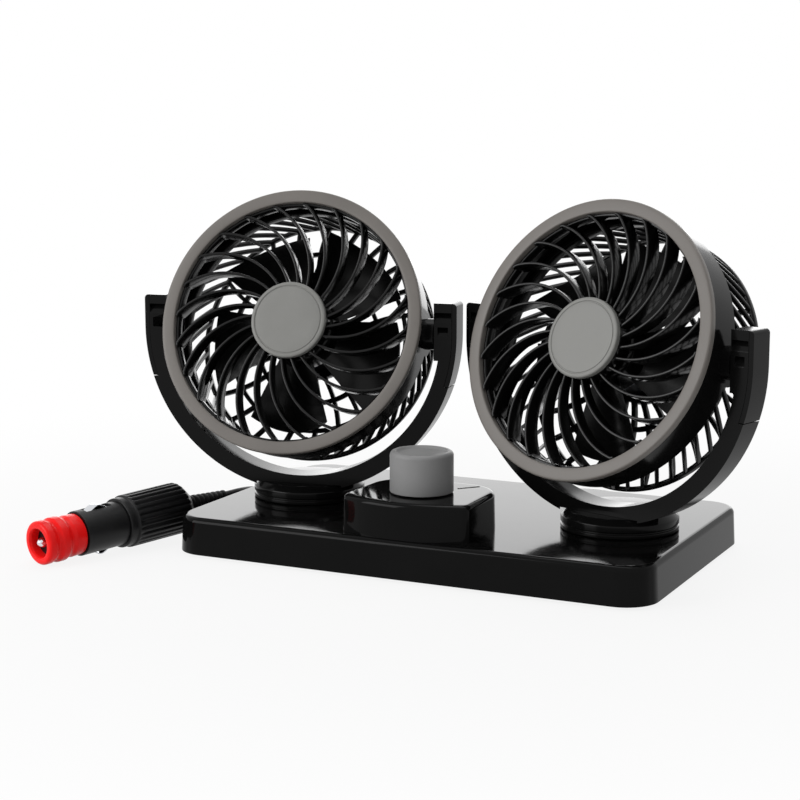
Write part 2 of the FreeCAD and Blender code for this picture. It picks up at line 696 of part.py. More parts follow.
def build_yoke(side, yaw, sign):
    """Turntable, yoke shell, back cover, pivot pins and covers of one fan. The frame's Z is the swivel axis."""
    place = Placement(
        Vector(sign * d.swivel_spacing.value / 2, -d.swivel_ahead.value, pivot_height.value),
        Rotation(Vector(0, 0, 1), yaw.value),
    )
    floor = -d.pivot_rise
    table_foot = floor + d.swivel_gap
    table_top = table_foot + d.turntable_height
    washer_top = floor - d.base_wall - d.swivel_gap
    clip_top = washer_top - d.washer_thick
    clip_foot = clip_top - d.clip_thick
    groove_top = table_top - d.turntable_groove_drop
    groove_foot = groove_top - d.turntable_groove * 2
    waist = d.turntable_radius - d.turntable_groove

    body = new_body(f"{side}_turntable")
    revolve(body, [
        (d.spigot_bore, clip_foot), (d.spigot_radius, clip_foot), (d.spigot_radius, table_foot),
        (d.turntable_radius, table_foot), (d.turntable_radius, groove_foot),
        (waist, groove_foot + d.turntable_groove / 2), (waist, groove_top - d.turntable_groove / 2),
        (d.turntable_radius, groove_top), (d.turntable_radius, table_top - d.turntable_bevel),
        (d.turntable_radius - d.turntable_bevel, table_top), (d.spigot_bore, table_top),
    ])
    body.Placement = place
    for name, radius, top, thick in (
        ("friction_washer", d.washer_radius, washer_top, d.washer_thick),
        ("swivel_clip", d.clip_radius, clip_top, d.clip_thick),
    ):
        body = new_body(f"{side}_{name}")
        sketch = sketch_on(body, "XY_Plane", top - thick)
        circle(sketch, ZERO, ZERO, radius)
        circle(sketch, ZERO, ZERO, d.spigot_radius)
        pad(body, sketch, thick)
        body.Placement = place

    half = d.yoke_depth / 2
    front = -d.bow_ahead - half
    seat = d.bow_ahead - half
    arm = d.yoke_outer - d.cover_thick
    inner_x = leg(d.yoke_inner, d.block_drop)
    step_out = leg(d.yoke_outer, d.cover_drop)
    step_in = leg(arm, d.cover_drop)
    body = new_body(f"{side}_yoke")
    sketch = sketch_on(body, "XZ_Plane", seat)
    outline(sketch, [
        (arm, d.yoke_top), (arm, ZERO, "right", arm), (step_in, -d.cover_drop),
        (step_out, -d.cover_drop, "right", d.yoke_outer), (ZERO, -d.yoke_outer, "right", d.yoke_outer),
        (-step_out, -d.cover_drop), (-step_in, -d.cover_drop, "right", arm), (-arm, ZERO),
        (-arm, d.yoke_top), (-d.block_face, d.yoke_top), (-d.block_face, -d.block_drop),
        (-inner_x, -d.block_drop, "left", d.yoke_inner), (ZERO, -d.yoke_inner, "left", d.yoke_inner),
        (inner_x, -d.block_drop), (d.block_face, -d.block_drop), (d.block_face, d.yoke_top),
    ])
    pad(body, sketch, d.yoke_depth)
    start = d.yoke_cavity_start
    low = d.yoke_inner + d.yoke_wall
    high = arm - d.yoke_wall
    sketch = sketch_on(body, "XZ_Plane", seat)
    channel(sketch, low, high, start)
    pocket(body, sketch, d.yoke_depth - d.yoke_wall, forward=True)
    sketch = sketch_on(body, "XY_Plane", table_top)
    circle(sketch, ZERO, ZERO, d.turntable_radius + d.back_gap)
    pocket(body, sketch, d.yoke_outer)
    sketch = sketch_on(body, "YZ_Plane", -d.yoke_outer)
    circle(sketch, -d.bow_ahead, ZERO, d.pin_radius)
    pocket(body, sketch, d.yoke_outer * 2, forward=True)
    for left, reach in ((-d.yoke_outer, True), (d.yoke_outer, False)):
        sketch = sketch_on(body, "YZ_Plane", left)
        circle(sketch, -d.bow_ahead, ZERO, d.pin_head_radius + d.inner_gap)
        pocket(body, sketch, d.cover_thick + d.pin_sink + d.pin_head_thick, forward=reach)
    for width, drop, height in (
        (d.ledge_width, d.ledge_drop, d.ledge_height),
        (d.tab_width, d.tab_drop, d.tab_height),
    ):
        middle = (d.block_face + arm) / 2
        top = d.yoke_top - drop
        for centre in (middle, -middle):
            sketch = sketch_on(body, "YZ_Plane", centre - width / 2)
            outline(sketch, [
                (front, top - height), (front + d.ledge_depth, top), (front, top),
            ])
            pocket(body, sketch, width, forward=True)
    body.Placement = place

    body = new_body(f"{side}_yoke_back")
    sketch = sketch_on(body, "XZ_Plane", seat)
    gap = d.back_gap
    channel(sketch, low + gap, high - gap, start + gap)
    pad(body, sketch, d.back_thick)
    body.Placement = place

    body = new_body(f"{side}_pivot_covers", several=True)
    sketch = sketch_on(body, "XZ_Plane", seat)
    drop = d.cover_drop - d.cover_gap
    wide = leg(d.yoke_outer, drop)
    narrow = leg(arm, drop)
    outline(sketch, [
        (arm, d.yoke_top), (arm, ZERO, "right", arm), (narrow, -drop),
        (wide, -drop, "left", d.yoke_outer), (d.yoke_outer, ZERO), (d.yoke_outer, d.yoke_top),
    ])
    outline(sketch, [
        (-arm, d.yoke_top), (-arm, ZERO, "left", arm), (-narrow, -drop),
        (-wide, -drop, "right", d.yoke_outer), (-d.yoke_outer, ZERO), (-d.yoke_outer, d.yoke_top),
    ])
    pad(body, sketch, d.yoke_depth)

    def top_corner(edge):
        centre = edge.CenterOfMass
        outer = abs(abs(centre.x) - d.yoke_outer.value) < 0.01
        middle = abs(centre.y + d.bow_ahead.value) < 0.01
        return outer and middle and level(edge, d.yoke_top.value)

    soften(body, d.yoke_edge, top_corner)
    body.Placement = place

    body = new_body(f"{side}_pivot_pins", several=True)
    pin_seat = arm - d.pin_sink - d.pin_head_thick
    for sense in (-1, 1):
        sketch = sketch_on(body, "YZ_Plane", d.pin_reach if sense > 0 else -pin_seat)
        circle(sketch, -d.bow_ahead, ZERO, d.pin_radius)
        pad(body, sketch, pin_seat - d.pin_reach)
        sketch = sketch_on(body, "YZ_Plane", pin_seat if sense > 0 else -pin_seat - d.pin_head_thick)
        circle(sketch, -d.bow_ahead, ZERO, d.pin_head_radius)
        pad(body, sketch, d.pin_head_thick)
    body.Placement = place


def channel(sketch, low, high, start):
    """The hollow of the yoke's bow between two radii, from arm to arm."""
    outline(sketch, [
        (high * cosine(start), -high * sine(start), "right", high), (ZERO, -high, "right", high),
        (-high * cosine(start), -high * sine(start)),
        (-low * cosine(start), -low * sine(start), "left", low), (ZERO, -low, "left", low),
        (low * cosine(start), -low * sine(start)),
    ])


def build_head(side, yaw, sign, turn):
    """Barrel, bezel, grille, hub disc, cage, motor and rotor of one fan. In its frame +Z looks out of the face."""
    tilt = Rotation(Vector(0, 0, 1), yaw.value) * Rotation(Vector(1, 0, 0), 90 - d.head_tilt.value)
    heading = math.radians(yaw.value)
    place = Placement(Vector(
        sign * d.swivel_spacing.value / 2 + d.bow_ahead.value * math.sin(heading),
        -d.swivel_ahead.value - d.bow_ahead.value * math.cos(heading), pivot_height.value,
    ), tilt)
    face = d.face_reach

    body = new_body(f"{side}_barrel")
    revolve(body, [
        (barrel_bore, barrel_back), (d.barrel_radius, barrel_back),
        (d.barrel_radius, bezel_back), (barrel_bore, bezel_back),
    ])
    sketch = sketch_on(body, "XY_Plane", -d.ear_drop)
    far = leg(d.barrel_radius, d.ear_half_width)
    near = leg(barrel_bore, d.ear_half_width)
    outline(sketch, [
        (near, -d.ear_half_width), (far, -d.ear_half_width, "left", d.barrel_radius),
        (far, d.ear_half_width), (near, d.ear_half_width, "right", barrel_bore),
    ])
    ear = pad(body, sketch, barrel_back + d.ear_drop + d.barrel_wall)

    def ear_corner(edge):
        box = edge.BoundBox
        low = box.ZMax < -d.ear_drop.value + 0.01
        return low and isinstance(edge.Curve, Part.Line)

    rounded = soften(body, d.ear_round, ear_corner)
    sketch = sketch_on(body, "YZ_Plane", d.ear_boss_inner)
    circle(sketch, ZERO, ZERO, d.ear_boss_radius)
    boss = pad(body, sketch, d.block_face - d.ear_gap - d.ear_boss_inner)
    pattern(body, [ear, rounded, boss], 2)
    sketch = sketch_on(body, "YZ_Plane", -d.barrel_radius * 2)
    circle(sketch, ZERO, ZERO, d.pin_radius + d.running_gap)
    pocket(body, sketch, d.barrel_radius * 4, forward=True)
    body.Placement = place

    body = new_body(f"{side}_bezel")
    bezel_bore = d.bezel_radius - d.bezel_width
    revolve(body, [
        (bezel_bore, bezel_back), (d.bezel_radius, bezel_back), (d.bezel_radius, face), (bezel_bore, face),
    ])
    soften(body, d.bezel_edge, lambda edge: ring_edge(edge, d.bezel_radius.value, face.value)
           or ring_edge(edge, bezel_bore.value, face.value))
    body.Placement = place

    body = new_body(f"{side}_grille", several=True)
    front = face - d.grille_sink
    back = face - d.grille_rib_depth
    rim_bore = rim_radius - d.grille_rim
    rim_back = bezel_back - d.grille_rim_depth
    revolve(body, [
        (ZERO, face - d.grille_hub_depth), (d.grille_hub_radius, face - d.grille_hub_depth),
        (d.grille_hub_radius, front), (ZERO, front),
    ])
    revolve(body, [
        (rim_bore, rim_back), (rim_radius, rim_back),
        (rim_radius, bezel_back), (rim_bore, bezel_back),
    ])
    sketch = sketch_on(body, "XY_Plane", back)
    grille_rib(sketch, d.grille_hub_radius - d.grille_rib_thick, rim_bore + d.grille_rib_thick)
    rib = pad(body, sketch, front - back)
    pattern(body, [rib], GRILLE_RIBS)
    groove(body, [
        (ZERO, back), (rim_bore, back), (d.grille_hub_radius, face - d.grille_hub_depth),
        (ZERO, face - d.grille_hub_depth),
    ])
    groove(body, [(rim_bore, back), (rim_radius, back), (rim_radius, rim_back), (rim_bore, rim_back)])
    groove(body, [
        (bezel_bore, bezel_back), (d.bezel_radius, bezel_back), (d.bezel_radius, face), (bezel_bore, face),
    ])
    body.Placement = place

    body = new_body(f"{side}_hub_disc")
    disc_front = front + d.disc_thick
    revolve(body, [(ZERO, front), (d.disc_radius, front), (d.disc_radius, disc_front), (ZERO, disc_front)])
    soften(body, d.disc_edge, lambda edge: ring_edge(edge, d.disc_radius.value, disc_front.value))
    body.Placement = place

    build_cage(side, place)
    build_motor(side, place, turn)


def grille_rib(sketch, inner, outer):
    """One curved rib of the front grille in plan, from the middle disc to the rim."""
    sweep = d.grille_rib_sweep
    end_x = outer * cosine(sweep)
    end_y = outer * sine(sweep)
    run_x = end_x - inner
    chord = root(run_x * run_x + end_y * end_y)
    shift_x = end_y / chord * d.grille_rib_thick / 2
    shift_y = run_x / chord * d.grille_rib_thick / 2
    outline(sketch, [
        (inner + shift_x, -shift_y, "left", d.grille_rib_bow), (end_x + shift_x, end_y - shift_y),
        (end_x - shift_x, end_y + shift_y, "right", d.grille_rib_bow), (inner - shift_x, shift_y),
    ])


def build_cage(side, place):
    """Rear cage: front rim, slanted side ribs, back ring, back ribs and the motor cup."""
    body = new_body(f"{side}_rear_cage", several=True)
    rib = d.cage_rib
    rim_front = cage_rim_back + d.cage_rim_depth
    back = cage_back - d.cage_back_thick
    revolve(body, [
        (rim_radius - d.cage_rim, cage_rim_back), (rim_radius, cage_rim_back),
        (rim_radius, rim_front), (rim_radius - d.cage_rim, rim_front),
    ])
    for radius in (d.cage_back_radius, d.cage_ring_b, d.cage_ring_a):
        revolve(body, [(radius - rib, back), (radius, back), (radius, cage_back), (radius - rib, cage_back)])
    cup_bore = d.motor_radius + d.motor_gap
    revolve(body, [
        (ZERO, cup_back), (d.cup_radius, cup_back), (d.cup_radius, cage_back),
        (cup_bore, cage_back), (cup_bore, motor_back), (ZERO, motor_back),
    ])
    sketch = sketch_on(body, "XY_Plane", back)
    outline(sketch, [
        (d.cup_radius - rib / 2, -rib / 2, "right", d.cage_back_radius),
        (d.cage_back_radius - rib / 2, -rib / 2),
        (d.cage_back_radius - rib / 2, rib / 2, "left", d.cage_back_radius), (d.cup_radius - rib / 2, rib / 2),
    ])
    spoke = pad(body, sketch, d.cage_back_thick)
    pattern(body, [spoke], CAGE_BACK_RIBS)
    foot = d.cage_back_radius - rib - d.cage_rib_inset
    head = rim_radius - rib - d.cage_rib_inset
    low = cage_back - rib / 2
    rise = cage_rim_back + rib / 2 - low
    sketch = sketch_on(body, "XY_Plane", low)
    plain_box(sketch, foot, foot + rib, -rib / 2, rib / 2)
    bar = pad(body, sketch, rise)
    bar.UseCustomVector = True
    bar.AlongSketchNormal = True
    bind(bar, "Direction.x", head * cosine(d.cage_slant) - foot)
    bind(bar, "Direction.y", head * sine(d.cage_slant))
    bind(bar, "Direction.z", rise)
    pattern(body, [bar], CAGE_SIDE_RIBS)
    body.Placement = place


def build_motor(side, place, turn):
    """Motor, its shaft and the rotor."""
    nose = motor_front + d.motor_nose
    bore = d.axle_radius + d.running_gap
    sink = motor_front - d.axle_sink
    body = new_body(f"{side}_motor")
    revolve(body, [
        (ZERO, motor_back), (d.motor_radius, motor_back), (d.motor_radius, motor_front),
        (d.motor_nose_radius, motor_front), (d.motor_nose_radius, nose), (bore, nose),
        (bore, sink - d.running_gap), (ZERO, sink - d.running_gap),
    ])
    body.Placement = place

    hub_front = d.rotor_hub_back + d.rotor_hub_depth
    hub_roof = hub_front - d.rotor_hub_wall
    axle = doc.addObject("Part::Cylinder", f"{side}_motor_shaft")
    axle.Label = f"{side}_motor_shaft"
    bind(axle, "Radius", d.axle_radius)
    bind(axle, "Height", hub_roof - sink)
    axle.Placement = place * Placement(Vector(0, 0, sink.value), Rotation())
    parts.append(axle)

    body = new_body(f"{side}_rotor", several=True)
    skirt = d.rotor_hub_radius - d.rotor_hub_wall
    boss_back = nose + d.rotor_boss_gap
    revolve(body, [
        (ZERO, hub_roof), (d.axle_radius, hub_roof), (d.axle_radius, boss_back),
        (d.rotor_boss_radius, boss_back), (d.rotor_boss_radius, hub_roof), (skirt, hub_roof),
        (skirt, d.rotor_hub_back), (d.rotor_hub_radius, d.rotor_hub_back),
        (d.rotor_hub_radius, hub_front), (ZERO, hub_front),
    ])
    root_section = sketch_on(body, "YZ_Plane", d.rotor_hub_radius - d.rotor_hub_wall / 2)
    blade_section(root_section, d.blade_root_chord, d.blade_root_bow, d.rotor_hub_back + d.blade_thick)
    tip_section = sketch_on(body, "YZ_Plane", d.rotor_radius + d.blade_thick)
    blade_section(tip_section, d.blade_tip_chord, d.blade_tip_bow, d.blade_low)
    loft = body.newObject("PartDesign::AdditiveLoft", f"{body.Name}_loft")
    loft.Profile = root_section
    loft.Sections = [tip_section]
    pattern(body, [loft], BLADES)
    reach = d.rotor_radius + d.blade_tip_chord
    groove(body, [
        (d.rotor_radius, -d.rotor_hub_depth), (reach, -d.rotor_hub_depth),
        (reach, hub_front * 2), (d.rotor_radius, hub_front * 2),
    ])
    body.Placement = place * Placement(Vector(), Rotation(Vector(0, 0, 1), turn.value))


def blade_section(sketch, chord, bow, low):
    """A blade cut across: a thin bowed strip that climbs from its leading edge to its trailing edge."""
    half = chord / 2
    outline(sketch, [
        (half, low, "right", bow), (-half, d.blade_high - d.blade_thick), (-half, d.blade_high, "left", bow),
        (half, low + d.blade_thick),
    ])


def plug_frame():
    """The plug's own frame: +Z points from the handle's back to the tip, +Y up."""
    heading = math.radians(d.plug_heading.value)
    dip = math.radians(d.plug_dip.value)
    along = Vector(math.cos(heading) * math.cos(dip), math.sin(heading) * math.cos(dip), -math.sin(dip))
    rear = Vector(d.plug_rear_x.value, d.plug_rear_y.value, d.plug_rear_z.value)
    return Placement(rear, Rotation(Vector(), Vector(0, 0, 1), along, "ZYX")), along


def build_plug():
    """Lighter plug: strain relief, handle, body with fuse and spring, tip, side contacts and red ring."""
    place, _ = plug_frame()
    body_foot = d.handle_length
    body_top = body_foot + d.body_length
    nose_top = body_top + d.nose_length

    body = new_body("plug_strain_relief")
    steps = RELIEF_GROOVES * 2
    slope = (d.relief_radius - d.relief_tip_radius) / steps
    pitch = d.relief_length / (steps + 1)
    profile = [(ZERO, -d.relief_length)]
    for number in range(steps + 1):
        radius = d.relief_tip_radius + slope * number
        if number % 2:
            radius = radius - d.relief_groove
        low = pitch * number - d.relief_length
        profile += [(radius, low), (radius, low + pitch)]
    profile.append((ZERO, ZERO))
    revolve(body, profile)
    body.Placement = place

    body = new_body("plug_handle")
    collar_foot = d.handle_length - d.handle_collar
    revolve(body, [
        (ZERO, ZERO), (d.handle_radius - d.handle_back_bevel, ZERO),
        (d.handle_radius, d.handle_back_bevel), (d.handle_radius, collar_foot),
        (d.handle_collar_radius, collar_foot), (d.handle_collar_radius, d.handle_length),
        (ZERO, d.handle_length),
    ])
    sketch = sketch_on(body, "XY_Plane", d.handle_back_bevel)
    circle(sketch, d.handle_radius, ZERO, d.flute_radius)
    flute = pocket(body, sketch, d.flute_length, forward=True)
    pattern(body, [flute], HANDLE_FLUTES)
    body.Placement = place

    body = new_body("plug_body")
    lip = nose_top - d.nose_lip
    bore_foot = body_foot + d.nose_lip
    lip_bore = d.tip_radius + d.inner_gap
    revolve(body, [
        (ZERO, body_foot), (d.body_radius, body_foot), (d.body_radius, body_top),
        (d.nose_radius, body_top), (d.nose_radius, nose_top), (lip_bore, nose_top), (lip_bore, lip),
        (d.nose_bore, lip), (d.nose_bore, bore_foot), (ZERO, bore_foot),
    ])
    contact_mid = body_foot + d.body_length / 2
    slot_half = d.contact_length / 2 + d.ring_seat
    side = d.contact_width / 2 + d.ring_seat
    for sense in (-1, 1):
        sketch = sketch_on(body, "XZ_Plane", d.body_radius * sense)
        plain_box(sketch, -side, side, contact_mid - slot_half, contact_mid + slot_half)
        pocket(body, sketch, d.slot_depth, forward=sense < 0)
    sketch = sketch_on(body, "YZ_Plane", -d.body_radius)
    flat = d.body_flat_length / 2
    wide = d.body_flat_width / 2
    plain_box(sketch, -wide, wide, contact_mid - flat, contact_mid + flat)
    pocket(body, sketch, d.body_flat, forward=True)
    body.Placement = place

    spring_room = lip - bore_foot - d.tip_collar - d.fuse_length - d.inner_gap * 4
    spring_foot = bore_foot + d.inner_gap
    fuse_foot = spring_foot + spring_room + d.inner_gap
    tip_foot = fuse_foot + d.fuse_length + d.inner_gap
    inner = d.nose_bore - d.inner_gap
    body = new_body("plug_spring")
    sketch = sketch_on(body, "XY_Plane", spring_foot)
    circle(sketch, ZERO, ZERO, inner)
    circle(sketch, ZERO, ZERO, inner - d.spring_wall)
    pad(body, sketch, spring_room)
    body.Placement = place

    fuse = doc.addObject("Part::Cylinder", "plug_fuse")
    fuse.Label = "plug_fuse"
    bind(fuse, "Radius", inner)
    bind(fuse, "Height", d.fuse_length)
    fuse.Placement = place * Placement(Vector(0, 0, fuse_foot.value), Rotation())
    parts.append(fuse)

    body = new_body("plug_tip")
    shoulder = tip_foot + d.tip_collar
    revolve(body, [
        (ZERO, tip_foot), (inner, tip_foot), (inner, shoulder), (d.tip_radius, shoulder),
        (d.tip_radius, nose_top + d.tip_point / 2), (d.tip_radius / 4, nose_top + d.tip_point),
        (ZERO, nose_top + d.tip_point),
    ])
    body.Placement = place

    body = new_body("plug_ring")
    foot = body_top + d.ring_seat
    top = foot + d.ring_length
    step = d.ring_length / 8
    wave = d.ring_radius - d.ring_wave
    bore = d.nose_radius + d.ring_bore_gap
    shelf = nose_top + d.tip_travel / 2
    revolve(body, [
        (bore, foot), (d.ring_radius - d.ring_wave / 2, foot), (d.ring_radius, foot + step * 1.5),
        (wave, foot + step * 2.6), (wave, foot + step * 3.2), (d.ring_radius, foot + step * 4.4),
        (d.ring_radius, foot + step * 5), (wave, foot + step * 6), (wave, foot + step * 6.5),
        (d.ring_radius, foot + step * 7.2), (d.ring_radius - d.ring_wave, top),
        (d.ring_mouth + d.ring_wave / 2, top), (d.ring_mouth, top - d.ring_wave), (bore, shelf),
    ])
    body.Placement = place

    for name, sense in (("upper", 1), ("lower", -1)):
        body = new_body(f"plug_contact_{name}")
        half = d.contact_width / 2
        sketch = sketch_on(body, "YZ_Plane", -half)
        leaf(sketch, contact_mid, sense)
        pad(body, sketch, d.contact_width)
        body.Placement = place


def leaf(sketch, middle, sense):
    """A bent side contact seen from its side."""
    low = (d.body_radius - d.slot_depth + d.contact_travel + d.inner_gap) * sense
    thick = d.contact_thick * sense
    crest = (d.body_radius + d.contact_rise) * sense
    half = d.contact_length / 2
    flat = d.contact_length / 8
    outline(sketch, [
        (low, middle - half), (crest - thick, middle - flat), (crest - thick, middle + flat),
        (low, middle + half), (low + thick, middle + half), (crest, middle + flat),
        (crest, middle - flat), (low + thick, middle - half),
    ])


def arc_to(start, heading, end):
    """The arc that leaves start along heading and reaches end, with its end heading."""
    chord = end - start
    half_angle = heading.getAngle(chord)
    if half_angle < 1e-6:
        return Part.LineSegment(start, end).toShape()
    side = chord - heading * chord.dot(heading)
    apex = start + heading * (chord.Length / 2 / math.cos(half_angle))
    middle_chord = (start + end) / 2
    share = math.tan(half_angle / 2) / math.tan(half_angle)
    middle = middle_chord + (apex - middle_chord) * share
    if side.Length < 1e-9:
        return Part.LineSegment(start, end).toShape()
    return Part.Arc(start, middle, end).toShape()


def biarc(start, start_heading, end, end_heading):
    """Two arcs that join two places and headings smoothly."""
    reach = end - start
    both = start_heading + end_heading
    factor = 2 * (1 - start_heading.dot(end_heading))
    along = reach.dot(both)
    if factor < 1e-9:
        control = reach.Length / 4
    else:
        control = (math.sqrt(along * along + factor * reach.dot(reach)) - along) / factor
    first = start + start_heading * control
    last = end - end_heading * control
    joint = (first + last) / 2
    joint_heading = (last - first).normalize()
    return [arc_to(start, start_heading, joint), arc_to(joint, joint_heading, end)]


def tube(label, edges, radius, length):
    """A round tube along a path, checked by its volume."""
    wire = Part.Wire(edges)
    start = edges[0].Vertexes[0].Point
    heading = edges[0].tangentAt(edges[0].FirstParameter)
    section = Part.Wire([Part.Circle(start, heading, radius).toShape()])
    shell = Part.BRepOffsetAPI.MakePipeShell(wire)
    shell.add(section)
    shell.build()
    shell.makeSolid()
    solid = shell.shape()
    expected = math.pi * radius * radius * length
    print(f"{label}: length {length:.1f}, volume {solid.Volume:.1f}, section times length {expected:.1f}")
    feature = doc.addObject("Part::Feature", label)
    feature.Label = label
    feature.Shape = solid
    parts.append(feature)


def bent_path(points):
    """Straight runs joined by arcs as large as the runs allow, with their length and radii."""
    edges = []
    radii = []
    length = 0
    at = points[0]
    for number in range(1, len(points) - 1):
        before = points[number] - points[number - 1]
        after = points[number + 1] - points[number]
        turn = before.getAngle(after)
        reach = 0.45 * min(before.Length, after.Length)
        radii.append(reach / math.tan(turn / 2))
        enter = points[number] - before.normalize() * reach
        leave = points[number] + after.normalize() * reach
        edges.append(Part.LineSegment(at, enter).toShape())
        edges.append(arc_to(enter, (points[number] - enter).normalize(), leave))
        at = leave
    edges.append(Part.LineSegment(at, points[-1]).toShape())
    length = sum(edge.Length for edge in edges)
    return edges, length, radii


def coil_place(sweep):
    """A place on the coil after so many radians: in on the upper layer, down, and out on the lower one."""
    total = COIL_TURNS * 2 * math.pi
    past = sweep - total / 2
    soft = 0.6
    radius = d.coil_inner.value + d.coil_step.value * (math.sqrt(past * past + soft * soft) - soft) / (2 * math.pi)
    share = min(max(past / math.pi + 0.5, 0), 1)
    low = d.cord_radius.value + d.coil_lift.value
    height = low + d.coil_step.value * (1 + math.cos(math.pi * share)) / 2
    angle = math.pi - sweep
    return Vector(
        d.coil_x.value + radius * math.cos(angle), d.coil_y.value + radius * math.sin(angle), height
    )


def coil_heading(sweep):
    """Which way the coil runs after so many radians."""
    step = 1e-4
    return (coil_place(sweep + step) - coil_place(sweep - step)).normalize()


def build_cord():
    """Gland, lead to the coil, coil, its tie and the run to the plug."""
    back_wall = d.base_depth / 2 - (d.gland_rise - base_foot) * sine(d.base_draft) / cosine(d.base_draft)
    reach = d.gland_flange * sine(d.base_draft)
    start = back_wall.value + reach.value + d.gland_gap.value
    inside = d.base_depth / 2 - d.base_wall - d.base_height * sine(d.base_draft) / cosine(d.base_draft)
    body = new_body("cord_gland")
    neck = start - inside.value + d.gland_gap.value
    flange = d.gland_flange_thick
    revolve(body, [
        (ZERO, -flange - neck), (d.gland_flange, -flange - neck), (d.gland_flange, as_size(-neck)),
        (d.gland_radius, as_size(-neck)), (d.gland_radius, ZERO), (d.gland_flange, ZERO),
        (d.gland_flange, flange), (d.gland_radius, flange * 2), (d.gland_tip_radius, d.gland_boot),
        (ZERO, d.gland_boot),
    ])
    body.Placement = Placement(
        Vector(d.gland_x.value, start, d.gland_rise.value), Rotation(Vector(1, 0, 0), -90)
    )

    radius = d.cord_radius.value
    width = radius * 2
    total = COIL_TURNS * 2 * math.pi
    first, last = coil_place(0), coil_place(total)
    first_heading, last_heading = coil_heading(0), coil_heading(total)
    quarters = round(COIL_TURNS * 4)
    edges = [Part.LineSegment(first - first_heading * width, first).toShape()]
    for number in range(quarters):
        low = number * math.pi / 2
        high = low + math.pi / 2
        edges += biarc(coil_place(low), coil_heading(low), coil_place(high), coil_heading(high))
    edges.append(Part.LineSegment(last, last + last_heading * width).toShape())
    tube("cord_coil", edges, radius, sum(edge.Length for edge in edges))
    samples = [coil_place(number * math.pi / 36) for number in range(int(COIL_TURNS * 72) + 1)]
    gaps = [
        one.distanceToPoint(two) - width
        for number, one in enumerate(samples) for two in samples[number + 36:]
    ]
    print(f"cord_coil: least gap between turns {min(gaps):.2f}")

    lead_start = Vector(d.gland_x.value, start + d.gland_boot.value, d.gland_rise.value)
    lead_end = first - first_heading * width
    third = (lead_end - lead_start).Length / 3
    lead = [lead_start, lead_start + Vector(0, third, 0), lead_end - first_heading * third, lead_end]
    edges, length, radii = bent_path(lead)
    tube("cord_lead", edges, radius, length)
    print("cord_lead radii", [round(value, 1) for value in radii])

    place, along = plug_frame()
    tail = place.multVec(Vector(0, 0, -d.relief_length.value))
    floor = radius + 0.1
    run_start = last + last_heading * width
    low = run_start.z
    route = [
        tail, tail - along * 13,
        Vector(-114.6, 18, 12.5), Vector(-116.4, 36, 5.5), Vector(-115.6, 56, floor),
        Vector(-109.0, 75, floor), Vector(-91.0, 84, floor), Vector(-70, 83, floor),
        Vector(-43, 79.2, floor), Vector(-14, 76.2, floor),
        run_start + last_heading * 14, run_start,
    ]
    edges, length, radii = bent_path(route)
    tube("cord_run", edges, radius, length)
    print("cord_run radii", [round(value, 1) for value in radii], "end height", round(low, 2))

    body = new_body("coil_tie")
    slack = d.tie_slack
    inner_low = d.coil_inner - d.cord_radius - slack
    outer_turn = d.coil_inner + d.coil_step * (COIL_TURNS / 2)
    inner_high = outer_turn + d.cord_radius + slack
    foot = d.coil_lift - slack
    head = d.coil_lift + d.coil_step + d.cord_radius * 2 + slack
    sketch = sketch_on(body, "XZ_Plane", -d.tie_width / 2)
    rim = d.tie_thick
    plain_box(sketch, inner_low - rim, inner_high + rim, foot - rim, head + rim)
    plain_box(sketch, inner_low, inner_high, foot, head)
    pad(body, sketch, d.tie_width)
    body.Placement = Placement(Vector(d.coil_x.value, d.coil_y.value, 0), Rotation())


build_base()
build_controls()
for fan_side, fan_yaw, fan_sign, rotor_turn in (
    ("left", d.left_yaw, -1, d.left_rotor_turn),
    ("right", d.right_yaw, 1, d.right_rotor_turn),
):
    build_yoke(fan_side, fan_yaw, fan_sign)
    build_head(fan_side, fan_yaw, fan_sign, rotor_turn)
build_plug()
build_cord()
doc.recompute()

for thing in doc.Objects:
    if "Invalid" in thing.State or "Error" in thing.State:
        raise RuntimeError(f"{thing.Label} failed: {thing.State}")
for part in parts:
    if part.Shape.isNull() or not part.Shape.isValid():
        raise RuntimeError(f"{part.Label} has no valid shape")
os.makedirs("parts", exist_ok=True)
for part in parts:
    part.Shape.exportStep(f"parts/{part.Label}.step")
    print(f"{part.Label}: {len(part.Shape.Solids)} solids, {part.Shape.Volume:.1f} cubic mm")
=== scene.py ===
"""Looks of the dual head car fan: finishes, fine shapes, lead, studio and camera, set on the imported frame."""

import json
import logging
import math
from dataclasses import dataclass
from enum import Enum
from typing import Callable, Optional, Sequence, Union

import bmesh
import bpy
from mathutils import Matrix, Vector


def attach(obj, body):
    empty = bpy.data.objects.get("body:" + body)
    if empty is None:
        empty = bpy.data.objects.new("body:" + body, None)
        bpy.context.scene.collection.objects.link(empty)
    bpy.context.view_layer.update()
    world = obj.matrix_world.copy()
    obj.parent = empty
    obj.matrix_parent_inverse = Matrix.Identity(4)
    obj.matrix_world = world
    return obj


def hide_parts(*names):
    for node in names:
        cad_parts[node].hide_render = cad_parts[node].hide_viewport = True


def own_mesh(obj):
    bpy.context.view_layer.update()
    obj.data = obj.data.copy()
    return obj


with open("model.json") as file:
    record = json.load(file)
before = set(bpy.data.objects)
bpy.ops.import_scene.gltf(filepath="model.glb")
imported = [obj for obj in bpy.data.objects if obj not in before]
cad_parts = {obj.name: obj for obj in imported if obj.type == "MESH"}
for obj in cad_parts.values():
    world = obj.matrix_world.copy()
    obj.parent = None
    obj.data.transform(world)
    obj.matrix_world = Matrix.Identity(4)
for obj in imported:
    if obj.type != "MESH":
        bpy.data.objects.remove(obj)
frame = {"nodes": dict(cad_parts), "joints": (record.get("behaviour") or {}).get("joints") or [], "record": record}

LOG = logging.getLogger("car_fan")
MM = 0.001
Pair = tuple[float, float]
Triple = tuple[float, float, float]
